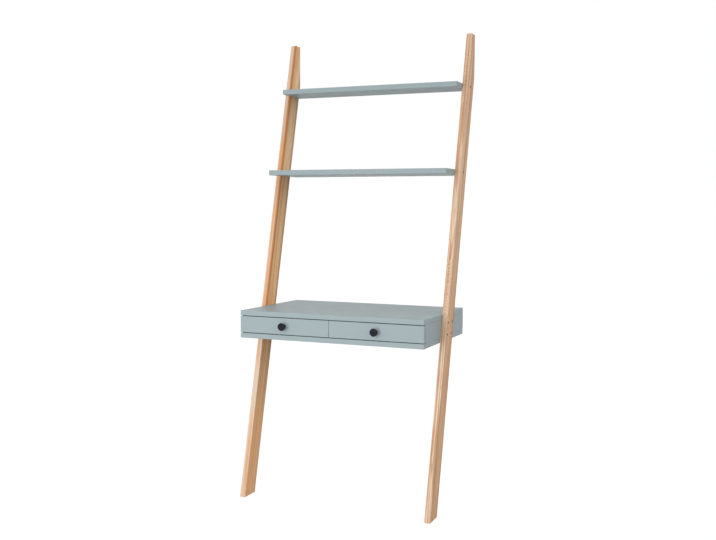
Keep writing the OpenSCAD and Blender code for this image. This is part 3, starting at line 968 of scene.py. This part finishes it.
def seats(node: str, axis: int) -> list[Seat]:
    """Reads the seats of a node's fasteners from its separate solids.

    Args:
        node: The frame node.
        axis: The axis that the fasteners lie along.

    Returns:
        One seat for each solid. The head is at the wider end, or at the end away from the desk's middle.
    """
    found = []
    for corners in solids(node):
        low, high = corners.min(0), corners.max(0)
        middle = (low + high) / 2
        reach = np.hypot(*np.delete(corners - middle, axis, 1).T)
        at_low = reach[corners[:, axis] < low[axis] + NEAR].max()
        at_high = reach[corners[:, axis] > high[axis] - NEAR].max()
        up = at_high > at_low if abs(at_high - at_low) > HEADED else middle[axis] > 0
        aim = Vector((0, 0, 0))
        aim[axis] = 1 if up else -1
        middle[axis] = high[axis] if up else low[axis]
        found.append(Seat(Vector(middle), aim, float(high[axis] - low[axis]), float(reach.max())))
    return found


class Fastener(ABC):
    """A kind of fastener, with its finish and the largest chance turn about its axis."""

    finish: ClassVar[Finish] = ZINC
    turn: ClassVar[float] = math.tau

    @abstractmethod
    def turning(self, seat: Seat) -> Turning:
        """Its turned shape at a seat."""


@dataclass
class SocketBolt(Fastener):
    """A fastener with a round head and a six-sided key socket."""

    head_r: float = 5.0 * MM
    head_h: float = 4.5 * MM
    edge: float = 0.7 * MM            # round of the head's upper edge
    shank_r: float = 3.0 * MM
    socket: float = 5.0 * MM          # across the flats
    socket_depth: float = 3.0 * MM
    pitch: float = 1.0 * MM
    thread_depth: float = 0.5 * MM
    threads: float = 14.0 * MM        # length of the threaded end
    finish = BRONZE
    turn = SIXTH

    def turning(self, seat: Seat) -> Turning:
        """The bolt, from the socket round the head to the point.

        Args:
            seat: Gives the length.

        Returns:
            The turning.
        """
        start, end = self.threads - seat.length, -seat.length
        rings = [*key_socket(self.socket, self.socket_depth),
                 *arc((self.head_r - self.edge, -self.edge), self.edge, 90, 0, 4),
                 Ring(self.head_r, -self.head_h), Ring(self.shank_r, -self.head_h),
                 Ring(self.shank_r, start + self.pitch),
                 *threaded(self.shank_r, start, self.pitch + end, self.pitch),
                 Ring(self.shank_r * 0.75, end), Ring(0, end)]
        return Turning(rings, pitch=self.pitch, depth=self.thread_depth)


@dataclass
class LockScrew(Fastener):
    """A headless screw with a key socket and a thread along its whole length."""

    socket: float = 3.0 * MM          # across the flats
    pitch: float = 1.0 * MM
    chamfer: float = 0.4 * MM
    finish = BRONZE
    turn = SIXTH

    def turning(self, seat: Seat) -> Turning:
        """The screw, with a socket of half its length.

        Args:
            seat: Gives the length and the radius.

        Returns:
            The turning.
        """
        thread = threaded(seat.radius, -self.chamfer, self.chamfer - seat.length, self.pitch)
        rings = [*key_socket(self.socket, seat.length / 2), Ring(seat.radius - self.chamfer, 0), *thread,
                 Ring(seat.radius * 0.7, -seat.length), Ring(0, -seat.length)]
        return Turning(rings, pitch=self.pitch)


@dataclass
class CrossScrew(Fastener):
    """A small screw with a cross recess, countersunk or pan-headed."""

    shank_r: float = 1.75 * MM
    head_r: float = 3.4 * MM
    head_h: float = 1.8 * MM
    recess_r: float = 1.7 * MM
    recess_depth: float = 1.1 * MM
    pitch: float = 1.4 * MM
    thread_depth: float = 0.45 * MM
    threads: float = 14.0 * MM        # length of the threaded end
    sunk: bool = False

    def turning(self, seat: Seat) -> Turning:
        """The screw, from the recess over the head to the point.

        Args:
            seat: Gives the length.

        Returns:
            The turning.
        """
        rings = [Ring(0, -self.recess_depth), Ring(0.4 * self.recess_r, -self.recess_depth, Relief.CROSS),
                 Ring(self.recess_r, 0, Relief.CROSS), Ring(self.recess_r * 1.15, 0)]
        if self.sunk:
            rings += [Ring(self.head_r, 0), Ring(self.head_r, -0.2 * MM)]
        else:
            rings += [Ring(self.head_r * 0.7, 0), Ring(self.head_r * 0.88, -0.25 * self.head_h),
                      Ring(self.head_r * 0.97, -0.6 * self.head_h), Ring(self.head_r, -self.head_h)]
        rings += [Ring(self.shank_r, -self.head_h),
                  *threaded(self.shank_r, self.threads - seat.length, self.pitch - seat.length, self.pitch),
                  Ring(self.shank_r * 0.3, -seat.length), Ring(0, -seat.length)]
        return Turning(rings, 16, self.pitch, self.thread_depth)


@dataclass
class FlutedDowel(Fastener):
    """A beech dowel with flutes and chamfered ends."""

    radius: float = 4.0 * MM
    chamfer: float = 1.0 * MM
    flutes: int = 16
    flute_depth: float = 0.3 * MM
    finish = BEECH

    def turning(self, seat: Seat) -> Turning:
        """The dowel, from end to end.

        Args:
            seat: Gives the length.

        Returns:
            The turning.
        """
        tip = self.radius - 0.8 * self.chamfer
        rings = [Ring(0, 0), Ring(tip, 0), Ring(self.radius, -self.chamfer, Relief.FLUTE),
                 Ring(self.radius, self.chamfer - seat.length, Relief.FLUTE),
                 Ring(tip, -seat.length), Ring(0, -seat.length)]
        return Turning(rings, 4 * self.flutes, depth=self.flute_depth, flutes=self.flutes)


@dataclass
class ThreadedInsert(Fastener):
    """A sleeve with a flange and a coarse outer thread, open at both ends."""

    bore_r: float = 3.05 * MM
    flange: float = 1.0 * MM
    relief: float = 0.3 * MM          # from the flange to the thread
    nose: float = 0.5 * MM            # length of its inner end, and how far that stands out from the bore
    pitch: float = 2.5 * MM
    thread_depth: float = 0.9 * MM

    def turning(self, seat: Seat) -> Turning:
        """The sleeve, from the inner end of its bore round the outside and back.

        Args:
            seat: Gives the length and the radius.

        Returns:
            The turning.
        """
        start = Ring(self.bore_r, -seat.length)
        thread = threaded(seat.radius, -self.flange - self.relief, self.nose - seat.length, self.pitch)
        rings = [start, Ring(self.bore_r, 0), Ring(seat.radius, 0), Ring(seat.radius, -self.flange), *thread,
                 Ring(self.bore_r + self.nose, -seat.length), start]
        return Turning(rings, pitch=self.pitch, depth=self.thread_depth)


# ---- Geometry Nodes ----


class PlacingTree:
    """A Geometry Nodes tree that sets a shape on every point of a mesh, with named inputs."""

    def __init__(self, name: str, inputs: Mapping[str, str]) -> None:
        """Makes the tree's group and its sockets.

        Args:
            name: Name of the tree.
            inputs: Socket type of each named input.
        """
        self.group = bpy.data.node_groups.new(name, "GeometryNodeTree")
        interface = self.group.interface
        interface.new_socket(name="Points", in_out="INPUT", socket_type="NodeSocketGeometry")
        for label, kind in inputs.items():
            interface.new_socket(name=label, in_out="INPUT", socket_type=kind)
        interface.new_socket(name="Geometry", in_out="OUTPUT", socket_type="NodeSocketGeometry")
        self.recipe = NodeRecipe(self.group)
        self.given = self.recipe.node("NodeGroupInput").outputs

    def end(self, shape: Socket, **turned: Socket) -> None:
        """Places the shape on the points, makes it real and gives it its material.

        Args:
            shape: The shape.
            **turned: Its rotation, as Rotation, where it has one.
        """
        node = self.recipe.node
        inputs = {"Points": self.given["Points"], "Instance": shape, **turned}
        placed = node("GeometryNodeInstanceOnPoints", inputs).outputs[0]
        real = node("GeometryNodeRealizeInstances", {0: placed}).outputs[0]
        inputs = {"Geometry": real, "Material": self.given["Finish"]}
        node("NodeGroupOutput", {0: node("GeometryNodeSetMaterial", inputs).outputs[0]})

    def apply(self, places: Sequence[Seat], name: str, **values: Feed) -> Piece:
        """Runs the tree on a set of seats.

        Args:
            places: The seats that become points with an aim.
            name: Name of the finished object.
            **values: Values of the named inputs.

        Returns:
            The finished object, one plain mesh.
        """
        mesh = bpy.data.meshes.new(name)
        mesh.from_pydata([seat.place for seat in places], [], [])
        aims = mesh.attributes.new(AIM, "FLOAT_VECTOR", "POINT")
        aims.data.foreach_set("vector", [c for seat in places for c in seat.aim])
        rough = linked(name + "_rough", mesh)
        modifier = rough.modifiers.new(self.group.name, "NODES")
        modifier.node_group = self.group
        for item in self.group.interface.items_tree:
            if item.name in values:
                modifier[item.identifier] = values[item.name]
        return flattened(rough, name)


class FastenerTree(PlacingTree):
    """Sets a turned fastener on each seat, along its aim and at a chance turn."""

    def __init__(self) -> None:
        """Builds the tree."""
        super().__init__("fastener_set", {"Fastener": "NodeSocketObject", "Finish": "NodeSocketMaterial",
                                          "Turn": "NodeSocketFloat", "Seed": "NodeSocketInt"})
        node = self.recipe.node
        aim = node("GeometryNodeInputNamedAttribute", {"Name": AIM}, data_type="FLOAT_VECTOR").outputs[0]
        along = node("FunctionNodeAlignRotationToVector", {"Vector": aim}, axis="Z").outputs[0]
        chance = node("FunctionNodeRandomValue", data_type="FLOAT")
        low, high = (s for s in chance.inputs if s.name in ("Min", "Max") and s.type == "VALUE")
        self.recipe.feed(low, 0.0)
        self.recipe.feed(high, self.given["Turn"])
        self.recipe.feed(chance.inputs["Seed"], self.given["Seed"])
        angle = next(s for s in chance.outputs if s.type == "VALUE")
        spin = node("FunctionNodeAxisAngleToRotation", {"Axis": (0, 0, 1), "Angle": angle}).outputs[0]
        turned = node("FunctionNodeRotateRotation", {0: along, 1: spin}, rotation_space="LOCAL").outputs[0]
        shape = node("GeometryNodeObjectInfo", {"Object": self.given["Fastener"]}).outputs["Geometry"]
        self.end(shape, Rotation=turned)

    def fasten(self, node: str, axis: int, fastener: Fastener, seed: int) -> Piece:
        """Makes the fasteners of a node.

        Args:
            node: The frame node that they stand for.
            axis: The axis that they lie along.
            fastener: Their kind.
            seed: Seed of the chance turns.

        Returns:
            One object with all of them.
        """
        places = seats(node, axis)
        finish = fastener.finish
        shape = linked("fastener_shape", smooth_mesh(fastener.turning(places[0]).work(), "fastener_shape"))
        piece = self.apply(places, finish.slot.piece_name(node), Fastener=shape, Finish=finish.material(),
                           Turn=fastener.turn, Seed=seed)
        bpy.data.objects.remove(shape)
        return settle(piece, node, finish)


class BallTree(PlacingTree):
    """Sets a bearing ball on each seat."""

    def __init__(self) -> None:
        """Builds the tree."""
        super().__init__("bearing_balls", {"Radius": "NodeSocketFloat", "Rounds": "NodeSocketInt",
                                           "Finish": "NodeSocketMaterial"})
        node = self.recipe.node
        sizes = {"Radius": self.given["Radius"], "Subdivisions": self.given["Rounds"]}
        ball = node("GeometryNodeMeshIcoSphere", sizes).outputs[0]
        self.end(node("GeometryNodeSetShadeSmooth", {"Geometry": ball}).outputs[0])

    def fill(self, node: str, finish: Finish, rounds: int = 3) -> Piece:
        """Makes the balls of a node, at the places and size of its solids.

        Args:
            node: The frame node that they stand for.
            finish: Their finish.
            rounds: How often a ball's faces are divided.

        Returns:
            One object with all of them.
        """
        places = seats(node, Y)
        middles = [Seat(s.place - s.aim * s.length / 2, s.aim, s.length, s.radius) for s in places]
        piece = self.apply(middles, finish.slot.piece_name(node), Radius=places[0].radius, Rounds=rounds,
                           Finish=finish.material())
        return settle(piece, node, finish)


# ---- Sub-assemblies ----


class Side(Enum):
    """The two sides of the desk, as seen from the front."""

    LEFT = "left"
    RIGHT = "right"

    def node(self, part: str) -> str:
        """Name of this side's node for a part."""
        return f"{self.value}_{part}"


@dataclass
class Assembly(ABC):
    """A group of pieces that a maker would put together first."""

    fasteners: FastenerTree

    @abstractmethod
    def build(self) -> Iterator[Piece]:
        """Makes the assembly's pieces."""

    def plain(self, finish: Finish, *nodes: str) -> Iterator[Piece]:
        """Makes parts with their nodes' own form."""
        for node in nodes:
            yield solid_piece(node_copy(node), node, finish)

    def fasten(self, *sets: tuple[str, int, Fastener, int]) -> Iterator[Piece]:
        """Makes sets of fasteners, each from its node, axis, kind and seed."""
        for node, axis, fastener, seed in sets:
            yield self.fasteners.fasten(node, axis, fastener, seed)


@dataclass
class LadderFrame(Assembly):
    """Two leaning posts with two shelves between them, and what holds the shelves."""

    lean: float = math.radians(13.75)
    post_ease: float = 0.6 * MM
    screw: SocketBolt = field(default_factory=lambda: SocketBolt(pitch=2.5 * MM, thread_depth=0.8 * MM,
                                                                 threads=40 * MM))

    def ash(self, side: Side, work: Work) -> AshWood:
        """Chooses the wood of one post.

        Args:
            side: The post's side.
            work: The post's mesh.

        Returns:
            Wood with the post's own pith and seed, and with a heart streak on the left.
        """
        low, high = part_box(side.node("post"))
        foot = [v.co.y for v in work.verts if v.co.z < low.z + MM]
        origin = Vector(((low.x + high.x) / 2, (min(foot) + max(foot)) / 2, low.z))
        title = f"oiled_ash_{side.value}"
        if side is Side.LEFT:
            # The left post's lighter tones are partly its own board and partly painted light, standing in for
            # more light on its inner face.
            return AshWood(title, origin, self.lean, pith=(-70 * MM, 20 * MM), slope=(18 * MM, -6 * MM),
                           seed=2.0, streak=HeartStreak(10 * MM, -38 * MM, 9 * MM, 14 * MM, 0.6),
                           pale="#ffd8a6", warm="#ffca90", rosy="#fdbc94", foot="#ffbe82", early="#f7ac6c",
                           # painted rear shade, stronger and deeper on this post
                           heart="#b8743c", shade="#dc9c60", rear_shade="#b88a5e", rear_shade_share=0.8, rear_shade_low=0.35,
                           rear_shade_depth=24 * MM, figure=0.6, sapwood="#e8dac8", sap_top="#d2bfae")
        return AshWood(title, origin, self.lean, pith=(2 * MM, -24 * MM), slope=(-2 * MM, -4 * MM),
                       seed=8.0, swells=((0.86, 0.12), (1.69, 0.11)), sapwood="#fde2c6", sap_top="#f4cfb0")

    def post(self, side: Side) -> Piece:
        """Makes one post, with its cut ends and its holes eased.

        Args:
            side: The post's side.

        Returns:
            The post.
        """
        node = side.node("post")
        work = node_copy(node)
        finish = self.ash(side, work)
        ease(work, self.post_ease, crisp(work), 2)
        return solid_piece(work, node, finish)

    def build(self) -> Iterator[Piece]:
        """Makes posts, shelves, shelf screws and dowels, and the lock screws of the wall studs.

        Yields:
            Each piece.
        """
        for side in Side:
            yield self.post(side)
        yield from self.plain(LACQUER, "upper_shelf", "middle_shelf")
        yield from self.fasten(("shelf_screws", X, self.screw, 3), ("wall_lock_screws", X, LockScrew(), 5),
                               ("shelf_dowels", X, FlutedDowel(), 7))


@dataclass
class DeskBox(Assembly):
    """The box of the worktop with its fasteners, and the rails of the slides in it."""

    rail_screw: CrossScrew = field(default_factory=lambda: CrossScrew(head_h=1.65 * MM, threads=7 * MM,
                                                                      sunk=True))

    def build(self) -> Iterator[Piece]:
        """Makes boards and panels, dowels, bolts with their inserts, and rails with their screws.

        Yields:
            Each piece.
        """
        yield from self.plain(LACQUER, "desk_top", "desk_bottom", "left_side_panel", "right_side_panel",
                              "back_panel", "centre_divider")
        yield from self.fasten(("box_dowels", Z, FlutedDowel(), 11), ("desk_bolts", X, SocketBolt(), 13),
                               ("desk_inserts", X, ThreadedInsert(), 17))
        yield from self.plain(ZINC, *(side.node("rails") for side in Side))
        yield from self.fasten(("rail_screws", X, self.rail_screw, 19))
        yield from self.plain(RUBBER, "slide_bumpers")


@dataclass
class SlideCages(Assembly):
    """The ball cages of one drawer's slides, with their balls."""

    side: Side
    balls: BallTree

    def build(self) -> Iterator[Piece]:
        """Makes the cages, then the balls."""
        yield from self.plain(ZINC, self.side.node("ball_cages"))
        yield self.balls.fill(self.side.node("balls"), ZINC)


@dataclass
class KnobSection:
    """Section of a turned knob, from its radius and length in the frame."""

    collar: float = 2.0 * MM
    neck_r: float = 6.5 * MM
    throat_r: float = 3.0 * MM
    rim_r: float = 4.0 * MM
    dish: float = 0.8 * MM
    dish_in: float = 0.5 * MM
    bead_w: float = 3.0 * MM
    bead_h: float = 0.7 * MM
    bead_steps: int = 5               # spans from the bead's crest to its foot
    dimple_r: float = 4.5 * MM
    dimple: float = 2.3 * MM
    pole: float = 1.0                 # degrees from the dimple's middle to the last ring round it
    bore_r: float = 2.05 * MM
    bore_len: float = 14.0 * MM
    soft: float = 0.35 * MM           # round of the small edges

    def rings(self, radius: float, length: float) -> list[Ring]:
        """Rings of the section.

        Args:
            radius: Radius of the head.
            length: From the drawer front to the face.

        Returns:
            The rings from the screw's bore round the outside to the middle of the face.
        """
        face_r = radius - self.rim_r
        under = length - 2 * self.rim_r
        collar_r = self.neck_r + self.collar
        floor = length - self.dish
        dish_r = face_r - self.dish_in
        lip = math.sqrt(self.dimple_r**2 - (self.dimple_r - self.dimple) ** 2)
        lip_turn = math.degrees(math.asin(lip / self.dimple_r))
        bead_at = (lip + dish_r) / 2
        steps = ((self.bead_steps - i) / self.bead_steps for i in range(2 * self.bead_steps + 1))
        return [
            Ring(0, self.bore_len), Ring(self.bore_r, self.bore_len), Ring(self.bore_r, 0),
            Ring(collar_r - self.soft, 0), *arc((collar_r - self.soft, self.soft), self.soft, -90, 0, 3),
            *arc((collar_r - self.soft, self.collar - self.soft), self.soft, 0, 90, 3),
            *arc((self.neck_r + self.soft, self.collar + self.soft), self.soft, 270, 180, 3),
            *arc((self.neck_r + self.throat_r, under - self.throat_r), self.throat_r, 180, 90, 8),
            *arc((face_r, length - self.rim_r), self.rim_r, -90, 90, 20),
            *arc((dish_r + self.soft, floor + self.soft), self.soft, 180, 270, 3),
            *(Ring(bead_at + self.bead_w / 2 * s, floor + self.bead_h * (1 - s * s)) for s in steps),
            *arc((0, floor - self.dimple + self.dimple_r), self.dimple_r, lip_turn - 90, self.pole - 90, 10),
            Ring(0, floor - self.dimple)]


@dataclass
class Drawer(Assembly):
    """One drawer: a lacquered front, a plywood box on two runners, and a turned knob."""

    side: Side
    ply_ease: float = 0.5 * MM
    knob_sides: int = 72
    knob_section: KnobSection = field(default_factory=KnobSection)
    knob_screw: CrossScrew = field(default_factory=lambda: CrossScrew(
        shank_r=2 * MM, head_r=4 * MM, head_h=2.2 * MM, recess_r=1.9 * MM, recess_depth=1.3 * MM,
        pitch=0.7 * MM, thread_depth=0.35 * MM))

    def board(self, part: str) -> Piece:
        """Makes a plywood board with its outer edges eased.

        Args:
            part: The board's part of the drawer.

        Returns:
            The board.
        """
        node = self.side.node(part)
        work = node_copy(node)
        ease(work, self.ply_ease, on_box(work))
        mark_grain(work)
        return solid_piece(work, node, PLY)

    def knob(self) -> Piece:
        """Makes the knob, turned about the line that looks out of the drawer front.

        Returns:
            The knob.
        """
        node = self.side.node("knob")
        low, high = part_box(node)
        radius, length = (high.x - low.x) / 2, high.y - low.y
        work = Turning(self.knob_section.rings(radius, length), self.knob_sides).work()
        place = Vector(((low.x + high.x) / 2, high.y, (low.z + high.z) / 2))
        work.transform(Matrix.Translation(place) @ Matrix.Rotation(QUARTER, 4, "X"))
        return solid_piece(work, node, BLACK)

    def build(self) -> Iterator[Piece]:
        """Makes front, box, runners, screws and knob.

        Yields:
            Each piece.
        """
        yield from self.plain(LACQUER, self.side.node("drawer_front"))
        for part in ("inner_front", "drawer_outer_side", "drawer_inner_side", "drawer_back", "drawer_bottom"):
            yield self.board(part)
        yield from self.plain(ZINC, self.side.node("runners"))
        seed = 23 if self.side is Side.LEFT else 29
        for part, axis, screw, extra in (("runner_screws", X, CrossScrew(threads=8 * MM), 0),
                                         ("front_screws", Y, CrossScrew(), 1),
                                         ("bottom_screws", Z, CrossScrew(), 3),
                                         ("knob_screw", Y, self.knob_screw, 2)):
            yield from self.fasten((self.side.node(part), axis, screw, seed + extra))
        yield self.knob()


# ---- Studio ----


@dataclass
class Studio:
    """Pale floor, even soft light and the camera."""

    ambient: float = 0.62
    key: float = 2.22                    # irradiance of the key light at the drawer fronts, square to it
    key_at: Vector = field(default_factory=lambda: Vector((-0.45, -3.15, 0.75)))
    key_size: float = 2.4                # side of its softbox
    aim: Vector = field(default_factory=lambda: Vector((0.0, -0.25, 0.7)))
    fill: float = 0.72                   # irradiance of the fill light
    fill_from: Vector = field(default_factory=lambda: Vector((0.93, -0.33, 0.15)))
    fill_spread: float = SIXTH
    floor_r: float = 40.0
    floor_sides: int = 96
    floor_drop: float = 0.3 * MM
    floor_tone: float = 0.34
    floor_glow: float = 0.80             # seen, but lights nothing
    image_w: int = 716
    focal: float = 927.4                 # in pixels of the image
    sensor: float = 36.0
    axis_below: float = 20.0             # pixels from the image's centre down to the camera's axis
    clip: Point = (0.05, 200.0)
    camera_at: Vector = field(default_factory=lambda: Vector((1.4384, -3.3548, 1.1325)))
    yaw: float = math.radians(23.0)
    pitch: float = math.radians(-4.85)
    roll: float = math.radians(0.33)

    def seen(self, recipe: NodeRecipe) -> Socket:
        """Tells the rays that show the background: camera, mirror and see-through rays.

        Args:
            recipe: Recipe of the tree that asks.

        Returns:
            1 for those rays, 0 for others.
        """
        path = recipe.node("ShaderNodeLightPath").outputs
        mirror = recipe.math("MAXIMUM", path["Is Glossy Ray"], path["Is Transmission Ray"])
        return recipe.math("MAXIMUM", path["Is Camera Ray"], mirror)

    def world(self) -> None:
        """White where it is seen, and a plain level where it lights."""
        world = bpy.data.worlds.new("studio")
        world.use_nodes = True
        recipe = NodeRecipe(world.node_tree)
        backdrop = world.node_tree.nodes["Background"]
        inputs = {0: self.seen(recipe), 2: self.ambient, 3: 1.0}
        level = recipe.node("ShaderNodeMix", inputs, data_type="FLOAT").outputs[0]
        recipe.feed(backdrop.inputs["Color"], (1.0, 1.0, 1.0, 1.0))
        recipe.feed(backdrop.inputs["Strength"], level)
        bpy.context.scene.world = world

    def floor(self) -> None:
        """A wide pale disc that keeps the object's shadow."""
        work = bmesh.new()
        bmesh.ops.create_circle(work, cap_ends=True, radius=self.floor_r, segments=self.floor_sides)
        mesh = bpy.data.meshes.new("floor")
        work.to_mesh(mesh)
        work.free()
        mesh.transform(Matrix.Translation((0, 0, -self.floor_drop)))
        shader = Shader("pale_floor")
        shader.cover((*(self.floor_tone,) * 3, 1.0), rough=1.0, specular=0.0)
        shader.set("Emission Color", (1.0, 1.0, 1.0, 1.0))
        shader.set("Emission Strength", shader.math("MULTIPLY", self.seen(shader), self.floor_glow))
        mesh.materials.append(shader.material)
        floor = linked("floor", mesh)

    def light(self) -> None:
        """A large softbox in front, a little to the left, and a weak fill from the right."""
        reach = self.aim - self.key_at
        softbox = bpy.data.lights.new("key_softbox", "AREA")
        softbox.size = self.key_size
        softbox.energy = self.key * math.pi * reach.length_squared
        fill = bpy.data.lights.new("fill", "SUN")
        fill.energy = self.fill
        fill.angle = self.fill_spread
        for lamp, place, ahead in ((softbox, self.key_at, reach), (fill, self.fill_from, -self.fill_from)):
            light = linked(lamp.name, lamp)
            turn = ahead.to_track_quat("-Z", "Y").to_matrix().to_4x4()
            light.matrix_world = Matrix.Translation(place) @ turn
            light.visible_camera = False

    def camera(self) -> None:
        """The camera, from its place, its turn and its focal length in pixels."""
        data = bpy.data.cameras.new("camera")
        data.sensor_fit = "HORIZONTAL"
        data.sensor_width = self.sensor
        data.lens = self.focal * self.sensor / self.image_w
        data.shift_y = self.axis_below / self.image_w
        data.clip_start, data.clip_end = self.clip
        sin_y, cos_y = math.sin(self.yaw), math.cos(self.yaw)
        sin_p, cos_p = math.sin(self.pitch), math.cos(self.pitch)
        ahead = Vector((-sin_y * cos_p, cos_y * cos_p, sin_p))
        level = ahead.cross(Vector((0, 0, 1))).normalized()
        above = level.cross(ahead)
        right = level * math.cos(self.roll) + above * math.sin(self.roll)
        up = above * math.cos(self.roll) - level * math.sin(self.roll)
        turn = Matrix((right, up, -ahead)).transposed().to_4x4()
        camera = linked("camera", data)
        camera.matrix_world = Matrix.Translation(self.camera_at) @ turn
        bpy.context.scene.camera = camera

    def build(self) -> None:
        """Sets up the whole studio."""
        self.camera()
        self.world()
        self.floor()
        self.light()
        bpy.context.scene.view_settings.view_transform = "Standard"


def main() -> None:
    """Builds the studio and every sub-assembly, and reports each piece."""
    logging.basicConfig(level=logging.INFO, format="%(message)s")
    Studio().build()
    fasteners, balls = FastenerTree(), BallTree()
    assemblies = [LadderFrame(fasteners), DeskBox(fasteners),
                  *(SlideCages(fasteners, side, balls) for side in Side),
                  *(Drawer(fasteners, side) for side in Side)]
    for assembly in assemblies:
        for piece in assembly.build():
            LOG.info("%s: %s, %d faces", type(assembly).__name__, piece.name, len(piece.data.polygons))


if __name__ == "__main__":
    main()
